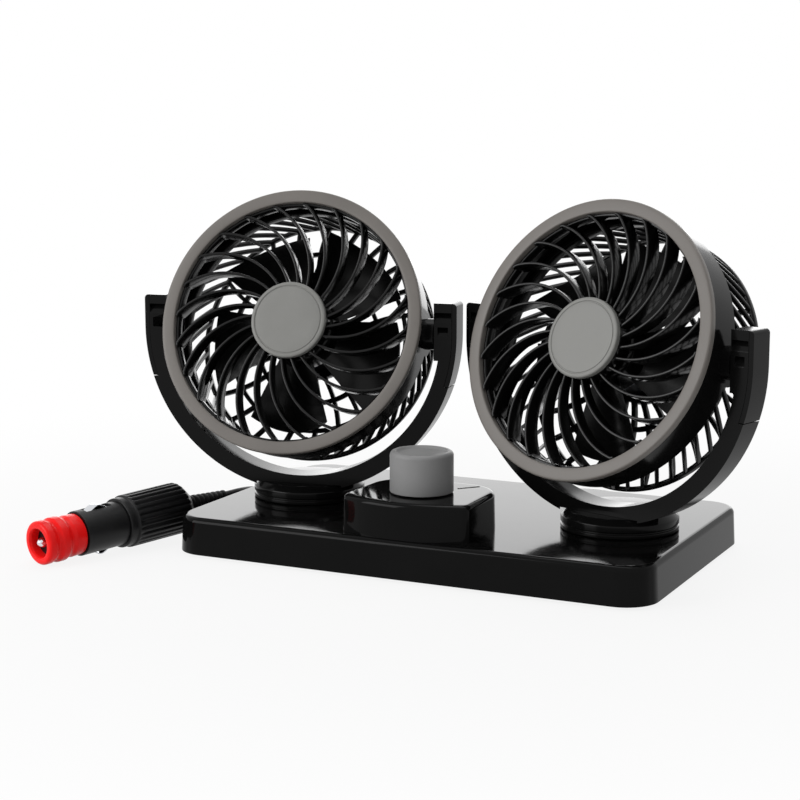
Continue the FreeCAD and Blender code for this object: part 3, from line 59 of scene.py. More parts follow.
Section = Sequence[tuple[float, ...]]
Loop = list[Vector]
Inputs = dict[Union[str, int], object]
Mesh = bpy.types.Mesh
Piece = bpy.types.Object


class Surface(Enum):
    """How a surface was made, which sets the grain of its finish."""

    POLISHED = "polished mould"
    SPRAYED = "sprayed paint"
    GRAINED = "fine textured mould"
    RUBBER = "soft rubber"
    BRIGHT = "plated or turned metal"
    DRAWN = "drawn or stamped metal"
    FIRED = "fired ceramic"
    HOOKED = "hook and loop tape"


class Side(Enum):
    """The two fans, as seen from the front."""

    LEFT = "left"
    RIGHT = "right"


@dataclass(frozen=True)
class Graph:
    """A node tree that is filled one node at a time."""

    tree: bpy.types.NodeTree

    def add(self, kind: str, inputs: Optional[Inputs] = None, **settings: object) -> bpy.types.Node:
        """Add a node.

        Args:
            kind: Type of the node.
            inputs: Its inputs by name or number, each a value or the socket that feeds it.
            settings: Its other settings.

        Returns:
            The node.
        """
        node = self.tree.nodes.new(kind)
        for name, value in settings.items():
            setattr(node, name, value)
        self.feed(node, inputs or {})
        return node

    def feed(self, node: bpy.types.Node, inputs: Inputs) -> None:
        """Set or link inputs of a node, by name or number."""
        for key, value in inputs.items():
            if isinstance(value, bpy.types.NodeSocket):
                self.tree.links.new(value, node.inputs[key])
            else:
                node.inputs[key].default_value = value

    def seen(self) -> bpy.types.NodeSocket:
        """Return a socket that is 1 for camera, glossy and transmission rays."""
        rays = self.add("ShaderNodeLightPath").outputs
        first = {0: rays["Is Camera Ray"], 1: rays["Is Glossy Ray"]}
        seen = self.add("ShaderNodeMath", first, operation="MAXIMUM")
        both = {0: seen.outputs["Value"], 1: rays["Is Transmission Ray"]}
        return self.add("ShaderNodeMath", both, operation="MAXIMUM").outputs["Value"]


@dataclass(frozen=True)
class Grain:
    """Grain of a surface: noise scales per metre, bump depth in metres, spreads of colour and roughness."""

    cloud: float
    fine: float
    depth: float
    strength: float
    tint: float
    rough: float
    stretch: Triple = (1.0, 1.0, 1.0)


GRAINS: dict[Surface, Grain] = {
    Surface.POLISHED: Grain(26.0, 420.0, 0.00004, 0.10, 0.16, 0.05),
    Surface.SPRAYED: Grain(40.0, 2600.0, 0.00003, 0.16, 0.07, 0.07),
    Surface.GRAINED: Grain(60.0, 3200.0, 0.00008, 0.30, 0.14, 0.08),
    Surface.RUBBER: Grain(50.0, 1800.0, 0.00010, 0.30, 0.18, 0.08),
    Surface.BRIGHT: Grain(90.0, 2200.0, 0.00002, 0.10, 0.08, 0.08),
    Surface.DRAWN: Grain(120.0, 1500.0, 0.00003, 0.18, 0.10, 0.10, (1.0, 1.0, 8.0)),
    Surface.FIRED: Grain(180.0, 2400.0, 0.00010, 0.40, 0.12, 0.06),
    Surface.HOOKED: Grain(300.0, 1400.0, 0.00040, 0.90, 0.35, 0.05),
}
# Noise values at which a finish has its darker and its lighter end.
CLOUD_ENDS = (0.3, 0.7)
LEAST_ROUGH = 0.03


def linear(red: int, green: int, blue: int) -> Triple:
    """Turn screen values of 0 to 255 into linear colour."""
    return tuple(
        value / 12.92 if value <= 0.04045 else ((value + 0.055) / 1.055) ** 2.4
        for value in (red / 255, green / 255, blue / 255)
    )


@dataclass(frozen=True)
class Finish:
    """One finish of the fan, made as a node material.

    Attributes:
        slot: Record slot that the finish belongs to.
        surface: How the surface was made.
        colour: Linear base colour.
        rough: Middle of the roughness.
        metal: Metallic share.
        specular: Specular level of the shader.
    """

    slot: str
    surface: Surface
    colour: Triple
    rough: float
    metal: float = 0.0
    specular: float = 0.3

    def material(self) -> bpy.types.Material:
        """Return the material of this finish, made at its first use."""
        return bpy.data.materials.get(f"{self.slot}_finish") or self._made()

    def _made(self) -> bpy.types.Material:
        """Return a new material, with colour, roughness and bump from noise on object coordinates."""
        grain = GRAINS[self.surface]
        material = bpy.data.materials.new(f"{self.slot}_finish")
        material.use_nodes = True
        material.diffuse_color = (*self.colour, 1.0)
        graph = Graph(material.node_tree)
        place = graph.add("ShaderNodeTexCoord").outputs["Object"]
        spot = graph.add("ShaderNodeMapping", {"Scale": grain.stretch, "Vector": place}).outputs["Vector"]
        cloud = graph.add("ShaderNodeTexNoise", {
            "Vector": spot, "Scale": grain.cloud, "Detail": 5.0, "Roughness": 0.6,
        }).outputs["Fac"]
        ramp = graph.add("ShaderNodeValToRGB", {"Fac": cloud})
        for element, end, sense in zip(ramp.color_ramp.elements, CLOUD_ENDS, (-1, 1)):
            element.position = end
            element.color = (*(min(1.0, value * (1 + sense * grain.tint)) for value in self.colour), 1.0)
        gloss = graph.add("ShaderNodeMapRange", {
            "Value": cloud, "From Min": CLOUD_ENDS[0], "From Max": CLOUD_ENDS[1],
            "To Min": max(LEAST_ROUGH, self.rough - grain.rough),
            "To Max": min(1.0, self.rough + grain.rough),
        })
        fine = graph.add("ShaderNodeTexNoise", {"Vector": spot, "Scale": grain.fine, "Detail": 3.0})
        bump = graph.add("ShaderNodeBump", {
            "Height": fine.outputs["Fac"], "Strength": grain.strength, "Distance": grain.depth,
        })
        graph.feed(material.node_tree.nodes["Principled BSDF"], {
            "Base Color": ramp.outputs["Color"], "Roughness": gloss.outputs["Result"],
            "Normal": bump.outputs["Normal"], "Metallic": self.metal, "Specular IOR Level": self.specular,
        })
        return material


BLACK = linear(14, 14, 14)
FINISHES: dict[str, Finish] = {
    finish.slot: finish
    for finish in (
        Finish("base_gloss", Surface.POLISHED, linear(11, 11, 11), 0.07, specular=0.07),
        Finish("pod_gloss", Surface.POLISHED, linear(11, 11, 11), 0.07, specular=0.07),
        Finish("plate_matte", Surface.GRAINED, linear(30, 30, 31), 0.55),
        Finish("pad_rubber", Surface.RUBBER, linear(28, 28, 28), 0.72, specular=0.2),
        Finish("screw_steel", Surface.DRAWN, linear(176, 177, 180), 0.34, metal=1.0),
        Finish("resistor_ceramic", Surface.FIRED, linear(224, 221, 210), 0.6),
        Finish("switch_plastic", Surface.GRAINED, linear(40, 40, 42), 0.5),
        Finish("switch_brass", Surface.DRAWN, linear(74, 62, 40), 0.38, metal=1.0),
        Finish("knob_grey", Surface.SPRAYED, linear(128, 128, 128), 0.44, specular=0.2),
        Finish("yoke_gloss", Surface.POLISHED, BLACK, 0.14, specular=0.1),
        Finish("yoke_back_matte", Surface.GRAINED, linear(28, 28, 29), 0.45),
        Finish("washer_nylon", Surface.GRAINED, linear(226, 224, 214), 0.5),
        Finish("barrel_gloss", Surface.POLISHED, BLACK, 0.14, specular=0.1),
        Finish("bezel_satin", Surface.SPRAYED, linear(105, 101, 97), 0.42),
        Finish("grille_gloss", Surface.POLISHED, linear(13, 13, 13), 0.16, specular=0.2),
        Finish("disc_satin", Surface.SPRAYED, linear(122, 122, 119), 0.42),
        Finish("cage_gloss", Surface.POLISHED, BLACK, 0.2, specular=0.12),
        Finish("motor_can", Surface.DRAWN, linear(150, 152, 156), 0.36, metal=1.0),
        Finish("rotor_gloss", Surface.POLISHED, linear(12, 12, 12), 0.2, specular=0.18),
        Finish("lead_pvc", Surface.RUBBER, linear(18, 18, 19), 0.46, specular=0.2),
        Finish("relief_pvc", Surface.RUBBER, linear(18, 18, 19), 0.44, specular=0.2),
        Finish("tie_hook", Surface.HOOKED, linear(30, 30, 31), 0.9, specular=0.15),
        Finish("plug_black", Surface.GRAINED, linear(13, 13, 14), 0.4, specular=0.2),
        Finish("plug_red", Surface.POLISHED, linear(244, 20, 20), 0.3, specular=0.16),
        Finish("contact_chrome", Surface.BRIGHT, linear(214, 216, 220), 0.14, metal=1.0),
        Finish("spring_steel", Surface.DRAWN, linear(170, 172, 176), 0.3, metal=1.0),
        Finish("fuse_glass", Surface.BRIGHT, linear(206, 212, 214), 0.10, specular=0.5),
    )
}


def clipped(value: float) -> float:
    """Return a value kept between 0 and 1."""
    return min(1.0, max(0.0, value))


def polar(radius: float, degrees: float) -> Pair:
    """Return a place in plan from a radius and an angle."""
    return radius * math.cos(math.radians(degrees)), radius * math.sin(math.radians(degrees))


def raised(plan: Sequence, height: float) -> Loop:
    """Return the places of a plan at a height."""
    return [Vector((*spot, height)) for spot in plan]


def round_loop(reaches: Sequence[float], height: float) -> Loop:
    """Return a loop about Z at a height, from its radii at equal steps of the turn."""
    step = 360 / len(reaches)
    return raised([polar(reach, step * number) for number, reach in enumerate(reaches)], height)


def softened(profile: Section, steps: int) -> list[Pair]:
    """Round the corners of a section.

    Args:
        profile: Points once round the section, each (radius, height) or (radius, height, edge radius).
        steps: Faces on each rounded edge.

    Returns:
        Points of the section with its edges rounded.
    """
    points: list[Pair] = []
    count = len(profile)
    for number, corner in enumerate(profile):
        here = Vector(corner[:2])
        size = corner[2] if len(corner) > 2 else 0.0
        if size <= 0:
            points.append((here.x, here.y))
            continue
        back = (Vector(profile[number - 1][:2]) - here).normalized()
        ahead = (Vector(profile[(number + 1) % count][:2]) - here).normalized()
        half = back.angle(ahead) / 2
        reach = size / math.tan(half)
        centre = here + (back + ahead).normalized() * (size / math.sin(half))
        first, last = here + back * reach - centre, here + ahead * reach - centre
        for step in range(steps + 1):
            spot = first.slerp(last, step / steps).normalized() * size + centre
            points.append((spot.x, spot.y))
    return points


def outline(left: float, right: float, low: float, high: float, radius: float, steps: int) -> list[Pair]:
    """Return a rectangle with rounded corners, for the section of a bar."""
    corners = [(left, low, radius), (right, low, radius), (right, high, radius), (left, high, radius)]
    return softened(corners, steps)


def bowed(start: Pair, end: Pair, bow: float, count: int) -> list[tuple[Vector, Vector]]:
    """Divide an arc in plan.

    Args:
        start: First end of the arc.
        end: Last end of the arc.
        bow: Radius of the arc, positive where it turns left on its way, negative where it turns right.
        count: How many stretches it is divided into.

    Returns:
        Places along the arc, each with the direction square to it.
    """
    first, last = Vector(start), Vector(end)
    chord = last - first
    across = Vector((-chord.y, chord.x)).normalized() * math.copysign(1.0, bow)
    centre = (first + last) / 2 + across * math.sqrt(bow * bow - chord.length_squared / 4)
    out, stop = (first - centre).normalized(), (last - centre).normalized()
    sides = [out.slerp(stop, step / count) for step in range(count + 1)]
    return [(centre + side * abs(bow), side) for side in sides]


def stood(section: Section, spot: Vector, across: Vector) -> Loop:
    """Return an upright section set across a path at a place in plan."""
    return [Vector((*(spot + across * side), height)) for side, height in section]


class Draft:
    """Points and faces of a shape while it is drawn, in millimetres."""

    def __init__(self) -> None:
        """Start empty."""
        self.points: list[Vector] = []
        self.faces: list[tuple[int, ...]] = []

    def rings(self, loops: Sequence[Loop], closed: bool = False) -> "Draft":
        """Join loops of equal length by faces.

        Args:
            loops: Loops of points, each closed round.
            closed: Whether the last loop is joined to the first, or else both get an end face.

        Returns:
            This draft.
        """
        start = len(self.points)
        count = len(loops[0])
        for loop in loops:
            self.points.extend(loop)
        for row in range(len(loops) if closed else len(loops) - 1):
            low = start + row * count
            high = start + ((row + 1) % len(loops)) * count
            for step in range(count):
                after = (step + 1) % count
                self.faces.append((low + step, low + after, high + after, high + step))
        if not closed:
            self.faces.append(tuple(range(start + count - 1, start - 1, -1)))
            self.faces.append(tuple(range(len(self.points) - count, len(self.points))))
        return self

    def turned(self, profile: Section, steps: int, edge_steps: int) -> "Draft":
        """Turn a section about Z, with its points on the axis as poles.

        Args:
            profile: Radius, height and any edge radius of each point, once round the section.
            steps: Faces round the axis.
            edge_steps: Faces on each rounded edge.

        Returns:
            This draft.
        """
        rows: list[list[int]] = []
        for radius, height in softened(profile, edge_steps):
            count = 1 if radius < 1e-6 else steps
            rows.append(list(range(len(self.points), len(self.points) + count)))
            self.points += round_loop([radius] * count, height)
        for one, two in zip(rows, rows[1:] + rows[:1]):
            if len(one) == 1 and len(two) == 1:
                continue
            for step in range(steps):
                after = (step + 1) % steps
                if len(one) == 1:
                    self.faces.append((one[0], two[after], two[step]))
                elif len(two) == 1:
                    self.faces.append((one[step], one[after], two[0]))
                else:
                    self.faces.append((one[step], one[after], two[after], two[step]))
        return self

    def mesh(self) -> Mesh:
        """Return the draft as a mesh in metres, with its faces pointing outwards."""
        mesh = bpy.data.meshes.new("draft")
        mesh.from_pydata([point * MM for point in self.points], [], self.faces)
        work = bmesh.new()
        work.from_mesh(mesh)
        bmesh.ops.remove_doubles(work, verts=work.verts, dist=1e-7)
        bmesh.ops.recalc_face_normals(work, faces=work.faces)
        work.to_mesh(mesh)
        work.free()
        return mesh


def linked(name: str, data: bpy.types.ID) -> Piece:
    """Return a new object of some data, linked to the scene."""
    thing = bpy.data.objects.new(name, data)
    bpy.context.scene.collection.objects.link(thing)
    return thing


def joined(meshes: Sequence[Mesh]) -> Mesh:
    """Join meshes into one and return it."""
    work = bmesh.new()
    for mesh in meshes:
        work.from_mesh(mesh)
    whole = bpy.data.meshes.new("joined")
    work.to_mesh(whole)
    work.free()
    return whole


def evaluated(mesh: Mesh, add: Callable[[Piece], None]) -> Mesh:
    """Run modifiers on a mesh.

    Args:
        mesh: Mesh to start from.
        add: Function that puts the modifiers on the object that it is given.

    Returns:
        A new mesh with the modifiers applied, and none left.
    """
    helper = linked("helper", mesh)
    add(helper)
    graph = bpy.context.evaluated_depsgraph_get()
    result = bpy.data.meshes.new_from_object(helper.evaluated_get(graph), depsgraph=graph)
    helper.modifiers.clear()
    bpy.data.objects.remove(helper)
    return result


class CopyTree:
    """Geometry Nodes that repeat one shape in one finish."""

    def __init__(self, name: str, slot: str, sizes: dict[str, float]) -> None:
        """Start a tree with a shape, the named sizes and a finish as its inputs.

        Args:
            name: Name of the tree.
            slot: Record slot of the finish.
            sizes: Names and values of its sizes.
        """
        self.tree = bpy.data.node_groups.new(name, "GeometryNodeTree")
        self.values = {**sizes, "Finish": FINISHES[slot].material()}
        kinds = {"Shape": "NodeSocketGeometry"}
        for label, value in sizes.items():
            kinds[label] = "NodeSocketInt" if isinstance(value, int) else "NodeSocketFloat"
        kinds["Finish"] = "NodeSocketMaterial"
        for label, kind in kinds.items():
            self.tree.interface.new_socket(label, in_out="INPUT", socket_type=kind)
        self.tree.interface.new_socket("Shape", in_out="OUTPUT", socket_type="NodeSocketGeometry")
        self.graph = Graph(self.tree)
        self.given = self.graph.add("NodeGroupInput").outputs

    def run(self, mesh: Mesh, points: Inputs) -> Mesh:
        """Copy a mesh to points.

        Args:
            mesh: The shape, in metres.
            points: Sockets of the points and of any turn at them, by the names of the inputs that they feed.

        Returns:
            One mesh with all the copies.
        """
        graph, given = self.graph, self.given
        copies = graph.add("GeometryNodeInstanceOnPoints", {"Instance": given["Shape"], **points})
        real = graph.add("GeometryNodeRealizeInstances", {"Geometry": copies.outputs["Instances"]})
        paint = graph.add("GeometryNodeSetMaterial", {
            "Geometry": real.outputs["Geometry"], "Material": given["Finish"],
        })
        graph.add("NodeGroupOutput", {"Shape": paint.outputs["Geometry"]})
        sockets = self.tree.interface.items_tree
        keys = {item.name: item.identifier for item in sockets if item.in_out == "INPUT"}

        def add(helper: Piece) -> None:
            """Put the tree on the helper object, with its inputs set by their identifiers."""
            modifier = helper.modifiers.new("copies", "NODES")
            modifier.node_group = self.tree
            for label, value in self.values.items():
                modifier[keys[label]] = value

        result = evaluated(mesh, add)
        bpy.data.node_groups.remove(self.tree)
        return result


def ring_of(mesh: Mesh, slot: str, count: int, start: float = 0.0) -> Mesh:
    """Repeat a shape round Z.

    Args:
        mesh: The first copy, in metres.
        slot: Record slot of its finish.
        count: How many copies.
        start: Turn of the first copy, in degrees.

    Returns:
        One mesh with all the copies.
    """
    tree = CopyTree("ring_of_copies", slot, {"Count": count, "Start": math.radians(start)})
    graph, given = tree.graph, tree.given
    points = graph.add("GeometryNodePoints", {"Count": given["Count"]})
    share = graph.add("ShaderNodeMath", {0: 2 * math.pi, 1: given["Count"]}, operation="DIVIDE")
    number = graph.add("GeometryNodeInputIndex").outputs["Index"]
    terms = {0: number, 1: share.outputs["Value"], 2: given["Start"]}
    angle = graph.add("ShaderNodeMath", terms, operation="MULTIPLY_ADD")
    euler = graph.add("ShaderNodeCombineXYZ", {"Z": angle.outputs["Value"]})
    turn = graph.add("FunctionNodeEulerToRotation", {"Euler": euler.outputs["Vector"]})
    return tree.run(mesh, {"Points": points.outputs[0], "Rotation": turn.outputs["Rotation"]})


def corners_of(mesh: Mesh, slot: str, span_x: float, span_y: float) -> Mesh:
    """Repeat a shape at the four corners of a rectangle.

    Args:
        mesh: The shape, in metres.
        slot: Record slot of its finish.
        span_x: Length of the rectangle in metres.
        span_y: Depth of the rectangle in metres.

    Returns:
        One mesh with the four copies.
    """
    tree = CopyTree("corner_copies", slot, {"Span X": span_x, "Span Y": span_y})
    grid = tree.graph.add("GeometryNodeMeshGrid", {
        "Vertices X": 2, "Vertices Y": 2, "Size X": tree.given["Span X"], "Size Y": tree.given["Span Y"],
    })
    return tree.run(mesh, {"Points": grid.outputs["Mesh"]})


def rounded_copy(node: str, width: float) -> Mesh:
    """Copy a CAD node's mesh with its sharp edges rounded.

    Args:
        node: Name of the node.
        width: Width of the rounding in millimetres.

    Returns:
        The new mesh, already in place.
    """
    flat, sharp = math.radians(0.6), math.radians(32.0)
    mesh = frame["nodes"][node].data.copy()
    work = bmesh.new()
    work.from_mesh(mesh)
    bmesh.ops.remove_doubles(work, verts=work.verts, dist=2e-6)
    bmesh.ops.dissolve_limit(work, angle_limit=flat, verts=work.verts, edges=work.edges, delimit={"NORMAL"})
    work.to_mesh(mesh)
    work.free()
    mesh.shade_smooth()

    def add(helper: Piece) -> None:
        """Put the rounding on the helper object, and let the large faces set the shading."""
        bevel = helper.modifiers.new("rounding", "BEVEL")
        bevel.width = width * MM
        bevel.segments = 2
        bevel.limit_method = "ANGLE"
        bevel.angle_limit = sharp
        bevel.use_clamp_overlap = True
        bevel.miter_outer = "MITER_ARC"
        shade = helper.modifiers.new("shading", "WEIGHTED_NORMAL")
        shade.mode = "FACE_AREA_WITH_ANGLE"
        shade.weight = 90

    return evaluated(mesh, add)


def place_piece(
    name: str,
    mesh: Mesh,
    slot: str,
    body: str,
    nodes: Sequence[str] = (),
    place: Optional[Matrix] = None,
    crease: Optional[float] = 34.0,
) -> Piece:
    """Make a finished piece of a mesh and set it on its body.

    Args:
        name: Name of the piece.
        mesh: Its mesh, in metres.
        slot: Record slot of its finish.
        body: Body that it rides on.
        nodes: CAD nodes that it stands for.
        place: Place of the mesh in the frame, if it isn't there already.
        crease: Angle past which an edge stays sharp, in degrees, or None where the mesh has its own shading.

    Returns:
        The piece.
    """
    if place is not None:
        mesh.transform(place)
    mesh.name = name
    mesh.materials.clear()
    mesh.materials.append(FINISHES[slot].material())
    for face in mesh.polygons:
        face.material_index = 0
    if crease is not None:
        mesh.shade_smooth()
        mesh.set_sharp_from_angle(angle=math.radians(crease))
    piece = linked(name, mesh)
    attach(piece, body)
    if nodes:
        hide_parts(*nodes)
    LOG.info("%s on %s: %d faces", name, body, len(mesh.polygons))
    return piece


def dress_node(name: str, node: str, width: float, slot: str, body: str) -> Piece:
    """Set a CAD node's copy with rounded edges on its body and return it."""
    return place_piece(name, rounded_copy(node, width), slot, body, [node], crease=None)


def joint(name: str) -> dict:
    """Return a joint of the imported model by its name."""
    return next(entry for entry in frame["joints"] if entry["name"] == name)


def frame_of(origin: Vector, x_axis: Vector, z_axis: Vector) -> Matrix:
    """Return the matrix of a frame from its origin and two of its axes."""
    x_axis, z_axis = x_axis.normalized(), z_axis.normalized()
    turn = Matrix((x_axis, z_axis.cross(x_axis), z_axis)).transposed()
    return Matrix.Translation(origin) @ turn.to_4x4()


def yoke_place(side: Side) -> Matrix:
    """Return a yoke's frame: origin on the swivel axis at the height of the tilt axis."""
    tilt, swivel = joint(f"{side.value}_tilt"), joint(f"{side.value}_swivel")
    origin = Vector((*swivel["pos_m"][:2], tilt["pos_m"][2]))
    return frame_of(origin, -Vector(tilt["axis"]), Vector((0, 0, 1)))


def head_place(side: Side) -> Matrix:
    """Return a head's frame: origin on the tilt axis, Z along the spin axis."""
    tilt, spin = joint(f"{side.value}_tilt"), joint(f"{side.value}_spin")
    return frame_of(Vector(tilt["pos_m"]), -Vector(tilt["axis"]), Vector(spin["axis"]))


def plug_place() -> Matrix:
    """Return the plug's frame: origin at the handle's back, Z to the tip, Y up."""
    ring_ahead = 70.0
    pull = joint("ring_pull")
    along = Vector(pull["axis"]).normalized()
    up = Vector(joint("lower_contact_press")["axis"]).normalized()
    return frame_of(Vector(pull["pos_m"]) - along * ring_ahead * MM, up.cross(along), along)


@dataclass
class Base:
    """Base: cover, plate, pad, screws and gland. Sizes in millimetres."""

    screw_x: float = 98.0
    screw_y: float = 55.5
    head_radius: float = 2.8
    head_edge: float = 0.45
    head_low: float = 0.3
    head_high: float = 1.5
    shank: float = 1.3
    shank_top: float = 11.5
    shank_neck: float = 0.4
    shank_point: float = 0.6
    point_radius: float = 0.35
    threads: int = 9
    thread_depth: float = 0.28
    cross_reach: float = 1.5
    cross_half: float = 0.42
    cross_depth: float = 0.8
    cross_taper: float = 0.8
    gland_place: Triple = (-9.2, 68.095, 8.5)
    gland_neck: float = 3.6
    gland_tip: float = 2.7
    flange: float = 5.0
    flange_thick: float = 1.4
    wall_neck: float = 4.4
    boot_foot: float = 2.4
    boot_swell: float = 0.25
    boot_length: float = 15.0
    boot_ribs: int = 4
    rib_foot: float = 3.2
    rib_margin: float = 4.4
    # Change of radius and share of the pitch at each corner of a rib.
    rib_form: tuple[Pair, ...] = ((-0.5, 0.0), (-0.5, 0.4), (0.1, 0.55), (0.05, 0.95))
    rib_edge: float = 0.25

    def build(self) -> None:
        """Build and dress every piece of the base."""
        dress_node("base_shell", "base_cover", 0.3, "base_gloss", "base")
        dress_node("base_floor_plate", "base_plate", 0.25, "plate_matte", "base")
        dress_node("base_grip_pad", "base_pad", 0.4, "pad_rubber", "base")
        self._screws()
        self._gland()

    def _screws(self) -> None:
        """Make the four screws, with crossed recesses and threads."""
        reach, half = self.cross_reach, self.cross_half
        middle = (reach + half) / 2
        quarter = [(reach, -half), (reach, 0.0), (reach, half), (middle, half), (half, half), (half, middle)]
        cross = []
        for turn in range(4):
            spin = Matrix.Rotation(turn * math.pi / 2, 2)
            cross.extend(spin @ Vector(spot) for spot in quarter)

        def ring(radius: float, height: float) -> Loop:
            """Return a round loop with one point for each point of the cross."""
            return raised([spot.normalized() * radius for spot in cross], height)

        radius, low, edge = self.head_radius, self.head_low, self.head_edge
        bevel = edge * 0.3
        loops = [
            raised([spot * self.cross_taper for spot in cross], low + self.cross_depth), raised(cross, low),
            ring(radius - edge, low), ring(radius - bevel, low + bevel), ring(radius, low + edge),
            ring(radius, self.head_high), ring(self.shank, self.head_high),
        ]
        root = self.shank - self.thread_depth
        first, last = self.head_high + self.shank_neck, self.shank_top - self.shank_point
        pitch = (last - first) / self.threads
        for number in range(self.threads):
            loops += [ring(root, first + pitch * number), ring(self.shank, first + pitch * (number + 0.5))]
        loops += [ring(root, last), ring(self.point_radius, self.shank_top)]
        screw = Draft().rings(loops).mesh()
        four = corners_of(screw, "screw_steel", self.screw_x * 2 * MM, self.screw_y * 2 * MM)
        place_piece("base_fixings", four, "screw_steel", "base", ["base_screws"])

    def _gland(self) -> None:
        """Make the ribbed gland where the lead leaves the base."""
        neck, flange, tip = self.gland_neck, self.flange, self.gland_tip
        inside, end = -self.wall_neck, -self.wall_neck - self.flange_thick
        profile = [
            (0.0, end), (flange, end, 0.4), (flange, inside, 0.3), (neck, inside), (neck, 0.0),
            (flange, 0.0, 0.4), (flange, self.flange_thick, 0.5),
            (neck + self.boot_swell, self.boot_foot, 0.4),
        ]
        pitch = (self.boot_length - self.rib_margin) / self.boot_ribs
        taper = (tip - neck) / (self.boot_length - self.boot_foot)
        for number in range(self.boot_ribs):
            low = self.rib_foot + pitch * number
            radius = neck + taper * (low - self.boot_foot)
            profile += [(radius + out, low + pitch * share, self.rib_edge) for out, share in self.rib_form]
        profile += [(tip, self.boot_length, 0.4), (0.0, self.boot_length)]
        place = Matrix.Translation(Vector(self.gland_place) * MM) @ Matrix.Rotation(-math.pi / 2, 4, "X")
        mesh = Draft().turned(profile, 64, 3).mesh()
        place_piece("lead_gland", mesh, "relief_pvc", "base", ["cord_gland"], place)


@dataclass
class Controls:
    """Control pod, its index mark and the speed knob. Sizes in millimetres."""

    axis: Pair = (0.0, -40.6)
    pod_foot: float = 17.9
    pod_top: float = 33.6
    pod_half: float = 29.8
    pod_back_half: float = 28.4
    pod_front: float = -65.6
    pod_shoulder: float = -58.4
    pod_back: float = -14.5
    pod_corner: float = 5.0
    pod_back_corner: float = 17.0
    pod_edge: float = 2.2
    pod_lip: float = 1.4
    pod_draft: float = 1.5
    pod_wall: float = 2.2
    edge_steps: int = 6
    bow_steps: int = 20
    bow_trim: int = 3
    corner_steps: int = 12
    bush_hole: float = 4.9
    mark_angle: float = 49.4
    mark_from: float = 16.9
    mark_to: float = 27.6
    mark_width: float = 1.2
    mark_rise: float = 0.15
    mark_edge: float = 0.06
    mark_round: float = 0.95
    mark_sink: float = 0.2
    mark_crown: Pair = (0.985, 0.8)
    knob_radius: float = 13.65
    knob_low: float = 34.1
    knob_high: float = 51.7
    knob_edge: float = 1.8
    knob_wall: float = 2.2
    knob_hollow: float = 4.2
    knob_roof: float = 4.5
    shaft: float = 3.0
    dish: float = 1.0
    dish_radius: float = 9.9
    dish_slope: float = 1.2

    def build(self) -> None:
        """Build and dress the pod, its mark and the knob."""
        self._pod()
        self._mark()
        self._knob()

    def _plan(self, inset: float) -> Loop:
        """Return the pod in plan, drawn in by an inset: bowed front, sloping sides and round corners."""
        half, back_half = self.pod_half - inset, self.pod_back_half - inset
        front, shoulder, back = self.pod_front + inset, self.pod_shoulder + inset, self.pod_back - inset
        rise = shoulder - front
        bow = (half * half + rise * rise) / (rise * 2)
        arc = bowed((-half, shoulder), (half, shoulder), bow, self.bow_steps)[self.bow_trim:-self.bow_trim]
        corner, rear = self.pod_corner - inset, self.pod_back_corner - inset
        points = [
            (-half, shoulder, corner), *((spot.x, spot.y) for spot, _ in arc), (half, shoulder, corner),
            (back_half, back, rear), (-back_half, back, rear),
        ]
        return [Vector(spot) for spot in softened(points, self.corner_steps)]

    def _pod(self) -> None:
        """Make the pod's shell, open below, with the hole for the switch."""
        foot, top, edge = self.pod_foot, self.pod_top, self.pod_edge
        drawn = (top - foot - edge) * math.tan(math.radians(self.pod_draft))
        loops = [raised(self._plan(0.0), foot)]
        for step in range(self.edge_steps + 1):
            turn = math.pi / 2 * step / self.edge_steps
            plan = self._plan(drawn + edge * (1 - math.cos(turn)))
            loops.append(raised(plan, top - edge + edge * math.sin(turn)))
        loops.append(raised(self._plan(drawn + edge * self.pod_lip), top))
        centre, roof = Vector(self.axis), top - self.pod_wall
        inner = self._plan(drawn + self.pod_wall)
        hole = [centre + (spot - centre).normalized() * self.bush_hole for spot in inner]
        loops += [raised(hole, top), raised(hole, roof), raised(inner, roof), raised(inner, foot)]
        mesh = Draft().rings(loops, closed=True).mesh()
        place_piece("pod_shell", mesh, "pod_gloss", "base", ["control_pod"])

    def _mark(self) -> None:
        """Make the index line beside the knob."""
        half = self.mark_width / 2
        plan = outline(self.mark_from, self.mark_to, -half, half, half * self.mark_round, 4)
        middle = (self.mark_from + self.mark_to) / 2
        long, wide = self.mark_crown
        crown = [(middle + (x - middle) * long, y * wide) for x, y in plan]
        loops = [raised(plan, height) for height in (-self.mark_sink, self.mark_rise - self.mark_edge)]
        mesh = Draft().rings([*loops, raised(crown, self.mark_rise)]).mesh()
        spot = Matrix.Translation(Vector((*self.axis, self.pod_top)) * MM)
        place = spot @ Matrix.Rotation(math.radians(self.mark_angle), 4, "Z")
        place_piece("index_mark", mesh, "plate_matte", "base", place=place)

    def _knob(self) -> None:
        """Make the knob with its soft rim and shallow dish."""
        radius, low, high = self.knob_radius, self.knob_low, self.knob_high
        hollow, roof, floor = radius - self.knob_wall, low + self.knob_hollow, high - self.dish
        profile = [
            (0.0, floor - self.knob_roof), (self.shaft, floor - self.knob_roof), (self.shaft, roof),
            (hollow, roof, 0.5), (hollow, low, 0.3), (radius, low, 0.45), (radius, high, self.knob_edge),
            (self.dish_radius + self.dish_slope, high, 0.7), (self.dish_radius, floor, 0.9), (0.0, floor),
        ]
        mesh = Draft().turned(profile, 160, 6).mesh()
        place = Matrix.Translation(Vector((*self.axis, 0.0)) * MM)
        place_piece("speed_knob", mesh, "knob_grey", "knob", ["knob"], place)


